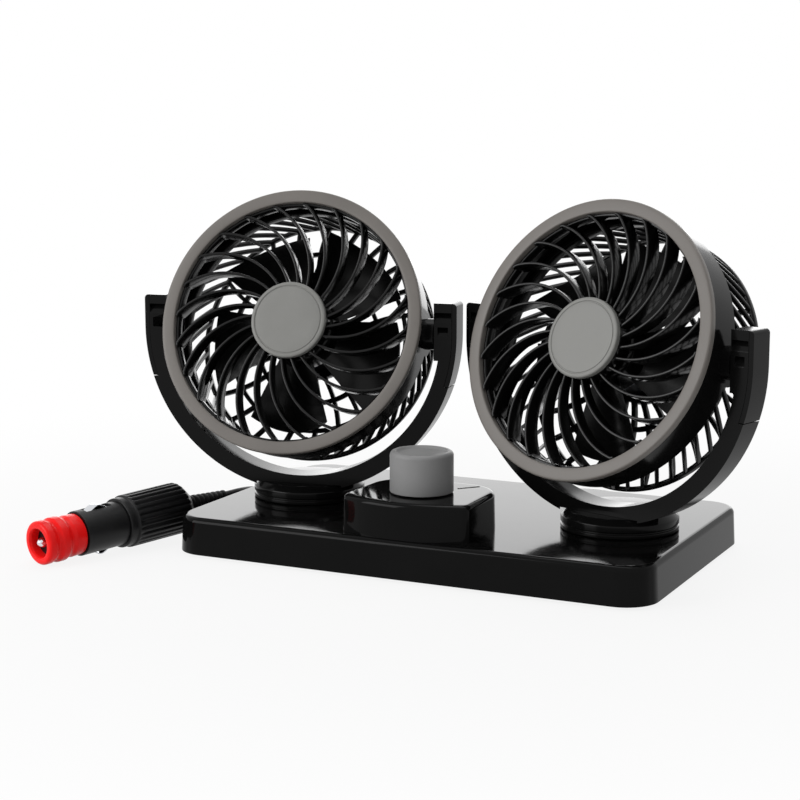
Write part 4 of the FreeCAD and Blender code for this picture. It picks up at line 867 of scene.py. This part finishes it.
@dataclass
class Yoke:
    """Turntable and yoke of one fan, about its swivel axis. Sizes in millimetres."""

    side: Side
    table_radius: float = 25.4
    table_low: float = -77.75
    table_high: float = -69.75
    bevel: float = 2.6
    groove_drop: float = 5.2
    groove: float = 0.6
    spigot: float = 11.0
    spigot_bore: float = 7.0
    spigot_low: float = -83.15

    def build(self) -> None:
        """Build and dress every piece of the yoke."""
        side = self.side.value
        body = f"{side}_yoke"
        low, high, radius, groove = self.table_low, self.table_high, self.table_radius, self.groove
        top = high - self.groove_drop
        profile = [
            (self.spigot_bore, self.spigot_low), (self.spigot, self.spigot_low), (self.spigot, low),
            (radius, low, 0.4), (radius, top - groove * 2, 0.2), (radius - groove, top - groove * 1.5, 0.15),
            (radius - groove, top - groove * 0.5, 0.15), (radius, top, 0.2), (radius, high - self.bevel, 0.9),
            (radius - self.bevel, high, 0.9), (self.spigot_bore, high),
        ]
        table, place = Draft().turned(profile, 160, 4).mesh(), yoke_place(self.side)
        place_piece(f"{side}_swivel_table", table, "yoke_gloss", body, [f"{side}_turntable"], place)
        for name, node, slot, width in (
            ("bow", "yoke", "yoke_gloss", 0.3), ("bow_lid", "yoke_back", "yoke_back_matte", 0.25),
            ("arm_caps", "pivot_covers", "yoke_gloss", 0.2),
        ):
            dress_node(f"{side}_{name}", f"{side}_{node}", width, slot, body)


@dataclass
class Head:
    """Barrel, bezel, grille, disc, cage and motor of a fan. Z looks out of its face. Sizes in millimetres."""

    side: Side
    face: float = 18.5
    bezel_radius: float = 60.0
    bezel_bore: float = 54.4
    bezel_back: float = 15.5
    bezel_crown: float = 0.12
    bezel_flat: float = 1.2
    rim_radius: float = 56.2
    rim_bore: float = 53.2
    rim_back: float = 10.6
    front: float = 17.9
    hub_radius: float = 17.2
    hub_back: float = 12.5
    rib_count: int = 24
    rib_thick: float = 1.2
    rib_turn: float = 7.5
    rib_root: float = 15.8
    rib_end: float = 54.6
    rib_sweep: float = 36.8
    rib_bow: float = 35.0
    rib_back: float = 8.5
    rib_bite: float = 0.6
    disc_radius: float = 17.15
    disc_front: float = 20.4
    disc_groove: float = 1.5
    groove_wall: float = 0.2
    groove_floor: float = 0.4
    groove_depth: float = 0.35
    cage_back: float = -27.5
    cage_front: float = -24.5
    cage_rings: Triple = (55.8, 43.0, 30.0)
    cage_rib: float = 2.0
    cage_rim_low: float = -3.8
    cage_rim_high: float = 1.2
    cage_rim_wall: float = 2.3
    spokes: int = 24
    bars: int = 48
    bar_slant: float = 15.0
    bar_inset: float = 1.3
    cup_radius: float = 17.4
    cup_bore: float = 14.0
    cup_back: float = -30.9
    dimple: float = 8.0
    dimple_slope: float = 0.6
    dimple_depth: float = 0.5
    motor_radius: float = 13.85
    motor_back: float = -28.9
    motor_front: float = -4.9
    crimp: float = 0.4
    crimp_depth: float = 0.35
    crimp_length: float = 1.6
    crimp_drop: float = 1.8
    bearing: float = 5.0
    bearing_rise: float = 1.6
    shaft_hole: float = 1.55
    shaft_depth: float = 17.05

    def build(self) -> None:
        """Build and dress every piece of the head."""
        side = self.side.value
        body = f"{side}_head"
        place = head_place(self.side)
        dress_node(f"{side}_barrel_ring", f"{side}_barrel", 0.35, "barrel_gloss", body)
        for name, mesh, slot, node in (
            ("bezel_ring", self._bezel(), "bezel_satin", "bezel"),
            ("front_grille", self._grille(), "grille_gloss", "grille"),
            ("centre_disc", self._disc(), "disc_satin", "hub_disc"),
            ("back_cage", self._cage(), "cage_gloss", "rear_cage"),
            ("motor_case", self._motor(), "motor_can", "motor"),
        ):
            place_piece(f"{side}_{name}", mesh, slot, body, [f"{side}_{node}"], place)

    def _bezel(self) -> Mesh:
        """Return the bezel ring, with a slight crown across its face."""
        radius, bore, edge = self.bezel_radius, self.bezel_bore, self.face - self.bezel_crown
        middle = (radius + bore) / 2
        return Draft().turned([
            (bore, self.bezel_back), (radius, self.bezel_back, 0.3), (radius, edge, 0.8),
            (middle + self.bezel_flat, self.face), (middle - self.bezel_flat, self.face), (bore, edge, 0.6),
        ], 256, 5).mesh()

    def _grille(self) -> Mesh:
        """Return the grille: rim, middle disc and its ring of curved ribs."""
        bore, radius, hub = self.rim_bore, self.rim_radius, self.hub_radius
        solid = Draft()
        solid.turned([
            (bore, self.rim_back, 0.5), (radius, self.rim_back, 0.3), (radius, self.bezel_back, 0.3),
            (bore, self.bezel_back, 0.6),
        ], 192, 3)
        solid.turned([
            (0.0, self.hub_back), (hub, self.hub_back, 0.8), (hub, self.front, 0.5), (0.0, self.front),
        ], 96, 3)
        half, lap = self.rib_thick / 2, self.rib_bite / 2
        slope = (self.rib_back - self.hub_back) / (bore - hub)
        inside = bore + self.rib_bite
        end = polar(self.rib_end, self.rib_sweep)
        loops = []
        for spot, across in bowed((self.rib_root, 0.0), end, self.rib_bow, 26):
            back = self.hub_back + slope * (min(spot.length, bore) - hub)
            if spot.length > bore + lap:
                back = self.rim_back + lap
            if spot.length > inside:
                spot = spot.normalized() * inside
            loops.append(stood(outline(-half, half, back, self.front, 0.45, 3), spot, across))
            if spot.length >= inside - 1e-4:
                break
        ribs = ring_of(Draft().rings(loops).mesh(), "grille_gloss", self.rib_count, self.rib_turn)
        return joined([solid.mesh(), ribs])

    def _disc(self) -> Mesh:
        """Return the plain hub disc, with a fine groove inside its rim and a shallow dish."""
        radius, front = self.disc_radius, self.disc_front
        outer = radius - self.disc_groove
        inner = outer - self.groove_wall - self.groove_floor
        floor = front - self.groove_depth
        return Draft().turned([
            (0.0, self.front), (radius, self.front, 0.2), (radius, front - 0.15, 0.7),
            (radius - 1.0, front, 0.2), (outer, front, 0.12), (outer - self.groove_wall, floor, 0.1),
            (inner, floor, 0.1),
            (inner - self.groove_wall, front - 0.05, 0.12), (radius - 6.0, front - 0.1), (0.0, front - 0.25),
        ], 160, 4).mesh()

    def _cage(self) -> Mesh:
        """Return the cage: rims, rings and cup, with its spokes and slanted side bars."""
        back, front, rib = self.cage_back, self.cage_front, self.cage_rib
        low, high, radius = self.cage_rim_low, self.cage_rim_high, self.rim_radius
        bore = radius - self.cage_rim_wall
        solid = Draft().turned([
            (bore, low, 0.4), (radius, low, 0.4), (radius, high, 0.3), (bore, high, 0.4),
        ], 160, 3)
        for ring in self.cage_rings:
            solid.turned([
                (ring - rib, back, 0.6), (ring, back, 0.6), (ring, front, 0.6), (ring - rib, front, 0.6),
            ], 144, 3)
        cup, end, floor = self.cup_radius, self.cup_back, self.cup_back + self.dimple_depth
        solid.turned([
            (0.0, floor), (self.dimple, floor, 0.3), (self.dimple + self.dimple_slope, end, 0.3),
            (cup, end, 1.4), (cup, front, 0.4), (self.cup_bore, front, 0.4), (self.cup_bore, self.motor_back),
            (0.0, self.motor_back),
        ], 96, 4)
        outer = self.cage_rings[0]
        section = outline(-rib / 2, rib / 2, back, front, 0.6, 3)
        arc = bowed((cup - rib / 2, 0.0), (outer - rib / 2, 0.0), -outer, 14)
        spoke = Draft().rings([stood(section, spot, side) for spot, side in arc]).mesh()
        spokes = ring_of(spoke, "cage_gloss", self.spokes)
        bars = ring_of(self._bar(outer - self.bar_inset, radius - self.bar_inset), "cage_gloss", self.bars)
        return joined([solid.mesh(), spokes, bars])

    def _bar(self, foot: float, head: float) -> Mesh:
        """Return one slanted bar of the cage's side, between the radii of its foot and its head."""
        half, steps = self.cage_rib / 2, 6
        low, high = self.cage_front - half, self.cage_rim_low + half
        section = outline(-half, half, -half, half, 0.5, 2)
        loops = []
        for step in range(steps + 1):
            share = step / steps
            out = Vector((*polar(1.0, self.bar_slant * share), 0.0))
            round_way = Vector((-out.y, out.x, 0.0))
            middle = out * (foot + (head - foot) * share) + Vector((0, 0, low + (high - low) * share))
            loops.append([middle + out * a + round_way * b for a, b in section])
        return Draft().rings(loops).mesh()

    def _motor(self) -> Mesh:
        """Return the motor: drawn can with a crimped front and its bearing."""
        radius, back, front = self.motor_radius, self.motor_back, self.motor_front
        waist, top = radius - self.crimp_depth, front - self.crimp_drop
        foot = top - self.crimp_length
        nose, end = front + self.bearing_rise, front - self.shaft_depth
        return Draft().turned([
            (0.0, back), (radius, back, 1.2), (radius, foot, 0.2), (waist, foot + self.crimp, 0.2),
            (waist, top - self.crimp, 0.2), (radius, top, 0.2), (radius, front, 0.9), (9.0, front, 0.4),
            (8.4, front - 0.5, 0.3), (self.bearing, front - 0.5), (self.bearing, nose, 0.5),
            (self.shaft_hole, nose), (self.shaft_hole, end), (0.0, end),
        ], 96, 4).mesh()


@dataclass
class Rotor:
    """Rotor of one fan: hub and bowed blades, about its spin axis. Sizes in millimetres, turn in degrees."""

    side: Side
    turn: float
    hub_radius: float = 17.0
    hub_back: float = -6.4
    hub_front: float = 7.6
    wall: float = 2.0
    boss: float = 4.6
    boss_back: float = -2.5
    bore: float = 1.5
    blades: int = 5
    reach: float = 45.8
    root: float = 16.2
    root_x: float = 16.0
    tip_x: float = 47.4
    root_chord: float = 20.0
    tip_chord: float = 47.0
    root_bow: float = 18.0
    tip_bow: float = 45.0
    root_low: float = -4.8
    tip_low: float = -13.0
    high: float = 5.0
    thick: float = 1.6
    edge_share: float = 0.36

    def build(self) -> None:
        """Build and dress the rotor."""
        body = f"{self.side.value}_rotor"
        roof, skirt = self.hub_front - self.wall, self.hub_radius - self.wall
        hub = Draft().turned([
            (0.0, roof), (self.bore, roof), (self.bore, self.boss_back), (self.boss, self.boss_back, 0.4),
            (self.boss, roof, 0.4), (skirt, roof, 0.6), (skirt, self.hub_back, 0.3),
            (self.hub_radius, self.hub_back, 0.4), (self.hub_radius, self.hub_front, 2.2),
            (0.0, self.hub_front),
        ], 96, 5).mesh()
        mesh = joined([hub, ring_of(self._blade(), "rotor_gloss", self.blades, self.turn)])
        place_piece(f"{self.side.value}_fan_wheel", mesh, "rotor_gloss", body, [body], head_place(self.side))

    def _blade(self) -> Mesh:
        """Return one blade: a bowed strip that widens from the hub to a round tip."""
        spans, chords = 14, 16
        growth = (self.tip_chord - self.root_chord) / 2 / (self.tip_x - self.root_x)
        start = self.root_chord / 2 - growth * self.root_x

        def along(radius: float, across: float) -> float:
            """Return X where the line of a share of the half chord meets a radius."""
            steep = across * across
            first = 1 + steep * growth * growth
            second = steep * start * growth
            third = steep * start * start - radius * radius
            return (math.sqrt(second * second - first * third) - second) / first

        def height(x: float, across: float) -> float:
            """Return Z of the blade's lower face."""
            share = (x - self.root_x) / (self.tip_x - self.root_x)
            half = start + growth * x
            bow = self.root_bow + (self.tip_bow - self.root_bow) * share
            low = self.root_low + (self.tip_low - self.root_low) * share
            rise = self.high - self.thick - low
            chord = math.hypot(half * 2, rise)
            sag = math.sqrt(bow * bow - (across * chord / 2) ** 2) - math.sqrt(bow * bow - chord * chord / 4)
            return low + rise * (1 + across) / 2 - sag

        loops = []
        for span in range(spans + 1):
            upper, lower = [], []
            for step in range(chords + 1):
                across = math.sin(math.pi * (step / chords - 0.5))
                inner, outer = along(self.root, across), along(self.reach, across)
                x = inner + (outer - inner) * span / spans
                y = across * (start + growth * x)
                low = height(x, across)
                edge = self.thick * self.edge_share * across ** 6
                lower.append(Vector((x, y, low + edge)))
                upper.append(Vector((x, y, low + self.thick - edge)))
            loops.append(lower + upper[::-1])
        return Draft().rings(loops).mesh()


@dataclass
class Plug:
    """Lighter plug: relief, handle, body, contacts, tip and red ring. Z to the tip. Sizes in millimetres."""

    handle_radius: float = 11.9
    handle_length: float = 38.0
    handle_eye: float = 0.4
    collar_radius: float = 11.2
    collar: float = 4.0
    back_bevel: float = 4.5
    flutes: int = 26
    flute_depth: float = 0.6
    flute_share: float = 0.72
    flute_steps: int = 12
    flute_start: float = 3.4
    flute_end: float = 33.0
    start_fade: float = 1.6
    end_fade: float = 1.2
    handle_step: float = 1.2
    relief_length: float = 24.0
    relief_radius: float = 4.4
    relief_tip: float = 2.7
    relief_grooves: int = 8
    relief_edge: float = 0.28
    groove: float = 0.8
    ring_foot: float = 60.3
    ring_length: float = 20.0
    ring_radius: float = 9.9
    ring_gap: float = 0.1
    wave: float = 1.1
    mouth: float = 6.2
    nose: float = 5.9
    nose_top: float = 76.0
    nose_room: float = 1.25
    tip_radius: float = 2.3
    tip_top: float = 80.2
    tip_collar: float = 3.0
    tip_shoulder: float = 74.3
    collar_length: float = 6.0
    contact_width: float = 5.0
    contact_length: float = 13.0
    contact_middle: float = 49.0
    contact_low: float = 8.3
    contact_crest: float = 11.3
    contact_thick: float = 0.6
    contact_edge: float = 0.2
    spring_wire: float = 0.7
    spring_turns: int = 6

    def build(self) -> list[Piece]:
        """Build and dress the plug, and return its new pieces."""
        place = plug_place()
        pieces = [
            place_piece("cable_relief", self._relief(), "relief_pvc", "base", ["plug_strain_relief"], place),
            place_piece("plug_grip", self._handle(), "plug_black", "base", ["plug_handle"], place),
            dress_node("plug_barrel", "plug_body", 0.3, "plug_black", "base"),
            place_piece("adapter_ring", self._ring(), "plug_red", "plug_ring", ["plug_ring"], place),
            place_piece("centre_contact", self._tip(), "contact_chrome", "plug_tip", ["plug_tip"], place),
        ]
        for name, sense in (("upper", 1), ("lower", -1)):
            leaf, node = self._leaf(sense), f"plug_contact_{name}"
            pieces.append(place_piece(f"side_contact_{name}", leaf, "contact_chrome", node, [node], place))
        return [*pieces, self._spring(place)]

    def _spring(self, place: Matrix) -> Piece:
        """Make the spring behind the fuse, as a fixed coil; the real spring shortens as the tip goes in.

        Args:
            place: Frame of the plug.

        Returns:
            The spring.
        """
        node = frame["nodes"]["plug_spring"]
        spots = [place.inverted() @ vertex.co / MM for vertex in node.data.vertices]
        foot, top = min(spot.z for spot in spots), max(spot.z for spot in spots)
        wire = self.spring_wire / 2
        radius = max(spot.xy.length for spot in spots) - wire
        count = self.spring_turns * 24
        section = [polar(wire, 45 * corner) for corner in range(8)]
        loops = []
        for number in range(count + 1):
            out = Vector(polar(1.0, 360 * self.spring_turns * number / count))
            height = foot + wire + (top - foot - 2 * wire) * number / count
            loops.append(stood([(side, height + rise) for side, rise in section], out * radius, out))
        mesh = Draft().rings(loops).mesh()
        piece = place_piece("fuse_spring", mesh, "spring_steel", "base", ["plug_spring"], place, crease=60.0)
        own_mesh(piece)
        return piece

    def _relief(self) -> Mesh:
        """Return the ribbed strain relief."""
        steps = self.relief_grooves * 2
        pitch = self.relief_length / (steps + 1)
        profile = [(0.0, -self.relief_length)]
        for number in range(steps + 1):
            radius = self.relief_tip + (self.relief_radius - self.relief_tip) * number / steps
            radius -= self.groove if number % 2 else 0.0
            low = pitch * number - self.relief_length
            profile += [(radius, low, self.relief_edge), (radius, low + pitch, self.relief_edge)]
        profile[-1] = profile[-1][:2]
        return Draft().turned([*profile, (0.0, 0.0)], 64, 3).mesh()

    def _handle(self) -> Mesh:
        """Return the fluted handle."""
        radius, collar, bevel = self.handle_radius, self.collar_radius, self.back_bevel
        top, step = self.handle_length, self.handle_length - self.collar
        profile = softened([
            (self.handle_eye, 0.0), (radius - bevel, 0.0, 1.2), (radius, bevel, 2.4), (radius, bevel + 3.0),
            (radius, step, 0.7), (collar, step, 0.3), (collar, top, 0.5), (self.handle_eye, top),
        ], 5)
        lines = []
        for one, two in zip(profile, profile[1:]):
            parts = max(1, round((two[1] - one[1]) / self.handle_step))
            lines += [Vector(one).lerp(Vector(two), number / parts) for number in range(parts)]
        phases = [number / self.flute_steps - 0.5 for number in range(self.flute_steps)]
        flute = [
            math.cos(math.pi * phase / self.flute_share) ** 2 if abs(phase) < self.flute_share / 2 else 0.0
            for phase in phases
        ]
        loops = []
        for reach, height in (*lines, profile[-1]):
            fade = clipped((height - self.flute_start) / self.start_fade)
            depth = self.flute_depth * fade * clipped((self.flute_end - height) / self.end_fade)
            loops.append(round_loop([reach - depth * dip for dip in flute * self.flutes], height))
        return Draft().rings(loops).mesh()

    def _ring(self) -> Mesh:
        """Return the waved red ring."""
        foot, radius, wave = self.ring_foot, self.ring_radius, self.ring_radius - self.wave
        top, step = foot + self.ring_length, self.ring_length / 8
        bore, crest = self.nose + self.ring_gap, radius - self.ring_gap * 2
        return Draft().turned([
            (bore, foot), (wave + 0.3, foot, 0.4), (wave + 0.5, foot + step * 2.1, 1.2),
            (wave, foot + step * 2.7, 0.8), (wave, foot + step * 3, 0.8), (radius, foot + step * 3.7, 1.3),
            (radius, foot + step * 5, 1.3), (wave, foot + step * 5.6, 0.8), (wave, foot + step * 5.9, 0.8),
            (crest, foot + step * 6.5, 1.0), (crest, top, 1.6), (self.mouth + self.wave / 2, top, 0.4),
            (self.mouth, top - self.wave, 0.4), (bore, self.nose_top + self.nose_room),
        ], 128, 5).mesh()

    def _tip(self) -> Mesh:
        """Return the centre contact, with four flats on its point."""
        radius, shoulder, nose, top = self.tip_radius, self.tip_shoulder, self.nose_top, self.tip_top
        rows = (
            (self.tip_collar, shoulder - self.collar_length, 0.0), (self.tip_collar, shoulder, 0.0),
            (radius, shoulder, 0.0), (radius, nose + 1.2, 0.0), (radius, nose + 2.0, 0.25),
            (radius * 0.85, nose + 2.9, 0.35), (radius * 0.55, top - 0.4, 0.3), (radius * 0.25, top, 0.1),
        )
        points = 48
        flats = [(0.5 + 0.5 * math.cos(8 * math.pi * number / points)) ** 3 for number in range(points)]
        loops = []
        for reach, height, cut in rows:
            loops.append(round_loop([reach * (1 - cut * flat) for flat in flats], height))
        return Draft().rings(loops).mesh()

    def _leaf(self, sense: int) -> Mesh:
        """Return one sprung side contact, bent along its length."""
        half, steps, thick = self.contact_length / 2, 24, self.contact_thick
        rise = self.contact_crest - self.contact_low - thick
        loops = []
        for number in range(steps + 1):
            share = number / steps * 2 - 1
            low = self.contact_low + rise * (1 + math.cos(math.pi * share)) / 2
            wide = self.contact_width / 2 * (1 - 0.25 * abs(share) ** 8)
            section = outline(-wide, wide, low, low + thick, self.contact_edge, 2)
            loops.append([Vector((a, b * sense, self.contact_middle + half * share)) for a, b in section])
        return Draft().rings(loops).mesh()


@dataclass
class Lead:
    """Lead from the base through its put-away coil to the plug. Sizes in millimetres."""

    diameter: float = 3.6
    length: float = 1330.5
    gland: Triple = (-9.2, 83.095, 8.5)
    coil_x: float = 23.0
    coil_y: float = 92.1
    coil_wide: float = 1.16
    coil_deep: float = 0.81
    coil_low: float = 1.85
    coil_rise: float = 2.95
    inner: float = 14.05
    step: float = 4.15
    turns: float = 7.75
    per_turn: int = 20
    ease: float = 0.6
    tie_thick: float = 0.9
    coil_exit: float = 14.0
    floor_gap: float = 0.1
    run: tuple[Pair, ...] = (
        (-14.0, 76.2), (-43.0, 79.2), (-70.0, 83.0), (-91.0, 84.0), (-109.0, 75.0), (-115.6, 56.0),
    )
    climb: tuple[Triple, ...] = ((-116.4, 36.0, 5.5), (-114.6, 18.0, 12.5))
    approach: float = 13.0
    relief: float = 24.0
    inside: float = 34.0

    def coil_point(self, sweep: float) -> Vector:
        """Return a point of the coil's middle line at a sweep in radians."""
        past = sweep - self.turns * math.pi
        radius = self.inner + self.step * (math.hypot(past, self.ease) - self.ease) / (2 * math.pi)
        share = clipped(past / math.pi + 0.5)
        height = self.coil_low + self.coil_rise * (1 + math.cos(math.pi * share)) / 2
        x, y = polar(radius, 180 - math.degrees(sweep))
        return Vector((self.coil_x + self.coil_wide * x, self.coil_y + self.coil_deep * y, height))

    def coil_heading(self, sweep: float) -> Vector:
        """Return the direction of the coil's middle line at a sweep in radians."""
        return (self.coil_point(sweep + 1e-4) - self.coil_point(sweep - 1e-4)).normalized()

    def tie_place(self, strap: Mesh) -> Matrix:
        """Return the move that fits the tie's mesh round the coil's right side."""
        low = Vector([min(vertex.co[axis] for vertex in strap.vertices) for axis in range(3)])
        high = Vector([max(vertex.co[axis] for vertex in strap.vertices) for axis in range(3)])
        outer, inner = self.coil_x - self.coil_point(0).x, self.inner * self.coil_wide
        middle = Vector((self.coil_x + (outer + inner) / 2, self.coil_y, 0)) * MM
        wide = (outer - inner + self.diameter + self.tie_thick * 2) * MM / (high.x - low.x)
        tall = (self.coil_low + self.coil_rise + self.diameter / 2 + self.tie_thick) * MM / high.z
        back = Matrix.Translation(Vector((-(low.x + high.x) / 2, -(low.y + high.y) / 2, 0)))
        return Matrix.Translation(middle) @ Matrix.Diagonal((wide, 1, tall, 1)) @ back

    def route(self) -> Loop:
        """Return the control points from the gland to the terminals inside the plug, in millimetres."""
        total = self.turns * 2 * math.pi
        into, out = self.coil_heading(0), self.coil_heading(total)
        start = Vector(self.gland)
        lead_end = self.coil_point(0) - into * self.diameter
        third = (lead_end - start).length / 3
        count = round(self.turns * self.per_turn)
        run_start = self.coil_point(total) + out * self.diameter
        plug = plug_place()
        along = plug.to_3x3() @ Vector((0, 0, 1))
        tail = plug.translation / MM - along * self.relief
        ends = (-self.approach, 0.0, self.relief, self.relief + self.inside / 2, self.relief + self.inside)
        return [
            start, start + Vector((0, third, 0)), lead_end - into * third, lead_end,
            *(self.coil_point(total * number / count) for number in range(count + 1)),
            run_start, run_start + out * self.coil_exit,
            *raised(self.run, self.diameter / 2 + self.floor_gap), *(Vector(spot) for spot in self.climb),
            *(tail + along * reach for reach in ends),
        ]

    def build(self, on_lead: list[Piece]) -> Piece:
        """Args:
            on_lead: Pieces of the plug; not used.

        Returns:
            The lead's curve object.
        """
        curve = bpy.data.curves.new("power_lead", "CURVE")
        curve.dimensions = "3D"
        curve.bevel_depth = self.diameter / 2 * MM
        curve.bevel_resolution = 5
        curve.resolution_u = 6
        curve.use_fill_caps = True
        points = self.route()
        spline = curve.splines.new("NURBS")
        spline.points.add(len(points) - 1)
        for spot, point in zip(spline.points, points):
            spot.co = (*(point * MM), 1.0)
        spline.order_u = 3
        spline.use_endpoint_u = True
        lead = linked("power_lead", curve)
        curve.materials.append(FINISHES["lead_pvc"].material())
        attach(lead, "base")
        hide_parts("cord_lead", "cord_coil", "cord_run")
        strap = rounded_copy("coil_tie", 0.3)
        strap.transform(self.tie_place(strap))
        tie = place_piece("coil_strap", strap, "tie_hook", "base", ["coil_tie"], crease=None)
        LOG.info("power_lead on base: %d control points", len(points))
        return lead


@dataclass(frozen=True)
class Lamp:
    """A soft lamp that points at the fan and isn't seen itself. Sizes in metres, power in watts."""

    name: str
    spot: Triple
    wide: float
    tall: float
    power: float
    aim: Triple = (0.0, 0.0, 0.07)

    def build(self) -> None:
        """Make the lamp."""
        data = bpy.data.lights.new(self.name, "AREA")
        data.shape = "RECTANGLE"
        data.size = self.wide
        data.size_y = self.tall
        data.energy = self.power
        lamp = linked(self.name, data)
        lamp.location = self.spot
        lamp.visible_camera = False
        lamp.rotation_euler = (Vector(self.aim) - Vector(self.spot)).to_track_quat("-Z", "Y").to_euler()


@dataclass
class Studio:
    """White studio with soft lamps, and the camera at the photograph's place. Sizes in metres."""

    eye: Triple = (0.33931, -0.76282, 0.20667)
    azimuth: float = 25.83
    elevation: float = 9.48
    lens: float = 85.94
    sensor: float = 36.0
    lamps: tuple[Lamp, ...] = (
        Lamp("key_lamp", (-0.95, -1.1, 0.6), 0.9, 0.9, 14.0),
        Lamp("top_lamp", (0.05, 0.35, 1.45), 1.1, 1.1, 8.0),
        Lamp("back_lamp", (-0.50, 1.03, 0.34), 1.3, 0.6, 4.6),
    )
    world_fill: float = 0.55
    floor_half: float = 6.0
    floor_grey: float = 0.6
    floor_glow: float = 0.87
    shadow_reach: float = 0.14
    white_reach: float = 0.45

    def build(self) -> None:
        """Make the camera, lamps, world and floor."""
        bpy.context.scene.view_settings.view_transform = "Standard"
        self._camera()
        for lamp in self.lamps:
            lamp.build()
        self._world()
        self._floor()

    def _camera(self) -> None:
        """Make the camera."""
        data = bpy.data.cameras.new("photo_camera")
        data.lens = self.lens
        data.sensor_width = self.sensor
        camera = linked("photo_camera", data)
        camera.location = self.eye
        camera.rotation_euler = (math.radians(90 - self.elevation), 0.0, math.radians(self.azimuth))
        bpy.context.scene.camera = camera

    def _world(self) -> None:
        """Make the world: white where it is seen, softer where it only lights."""
        world = bpy.data.worlds.new("white_room")
        world.use_nodes = True
        graph, nodes = Graph(world.node_tree), world.node_tree.nodes
        light = nodes["Background"]
        graph.feed(light, {"Color": (1, 1, 1, 1), "Strength": self.world_fill})
        white = graph.add("ShaderNodeBackground", {"Color": (1, 1, 1, 1), "Strength": 1.0})
        mix = graph.add("ShaderNodeMixShader", {
            "Fac": graph.seen(), 1: light.outputs["Background"], 2: white.outputs["Background"],
        })
        graph.feed(nodes["World Output"], {"Surface": mix.outputs["Shader"]})
        bpy.context.scene.world = world

    def _floor(self) -> None:
        """Make the pale floor, which keeps a soft shadow and turns white away from the fan."""
        reach = self.floor_half
        mesh = bpy.data.meshes.new("floor")
        corners = [(-reach, -reach, 0), (reach, -reach, 0), (reach, reach, 0), (-reach, reach, 0)]
        mesh.from_pydata(corners, [], [(0, 1, 2, 3)])
        material = bpy.data.materials.new("floor_white")
        material.use_nodes = True
        graph, nodes = Graph(material.node_tree), material.node_tree.nodes
        shader = nodes["Principled BSDF"]
        grey = (self.floor_grey, self.floor_grey, self.floor_grey, 1)
        graph.feed(shader, {"Base Color": grey, "Roughness": 0.8, "Specular IOR Level": 0.1})
        glow = graph.add("ShaderNodeEmission", {"Color": (1, 1, 1, 1), "Strength": 1.0})
        place = graph.add("ShaderNodeTexCoord").outputs["Object"]
        away = graph.add("ShaderNodeVectorMath", {0: place}, operation="LENGTH").outputs["Value"]
        fade = graph.add("ShaderNodeMapRange", {
            "Value": away, "From Min": self.shadow_reach, "From Max": self.white_reach,
            "To Min": self.floor_glow, "To Max": 1.0,
        }, interpolation_type="SMOOTHSTEP")
        part = graph.add("ShaderNodeMath", {0: graph.seen(), 1: fade.outputs["Result"]}, operation="MULTIPLY")
        mix = graph.add("ShaderNodeMixShader", {
            "Fac": part.outputs["Value"], 1: shader.outputs["BSDF"], 2: glow.outputs["Emission"],
        })
        graph.feed(nodes["Material Output"], {"Surface": mix.outputs["Shader"]})
        mesh.materials.append(material)
        floor = linked("floor", mesh)


def main() -> None:
    logging.basicConfig(level=logging.INFO, format="%(message)s")
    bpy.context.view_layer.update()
    Studio().build()
    for entry in frame["record"]["subparts"]:
        materials = frame["nodes"][entry["node"]].data.materials
        materials.clear()
        materials.append(FINISHES[entry["material_slot"]].material())
    Base().build()
    Controls().build()
    for side, turn in ((Side.LEFT, 50.0), (Side.RIGHT, 62.0)):
        Yoke(side).build()
        Head(side).build()
        Rotor(side, turn).build()
    Lead().build(Plug().build())


if __name__ == "__main__":
    main()
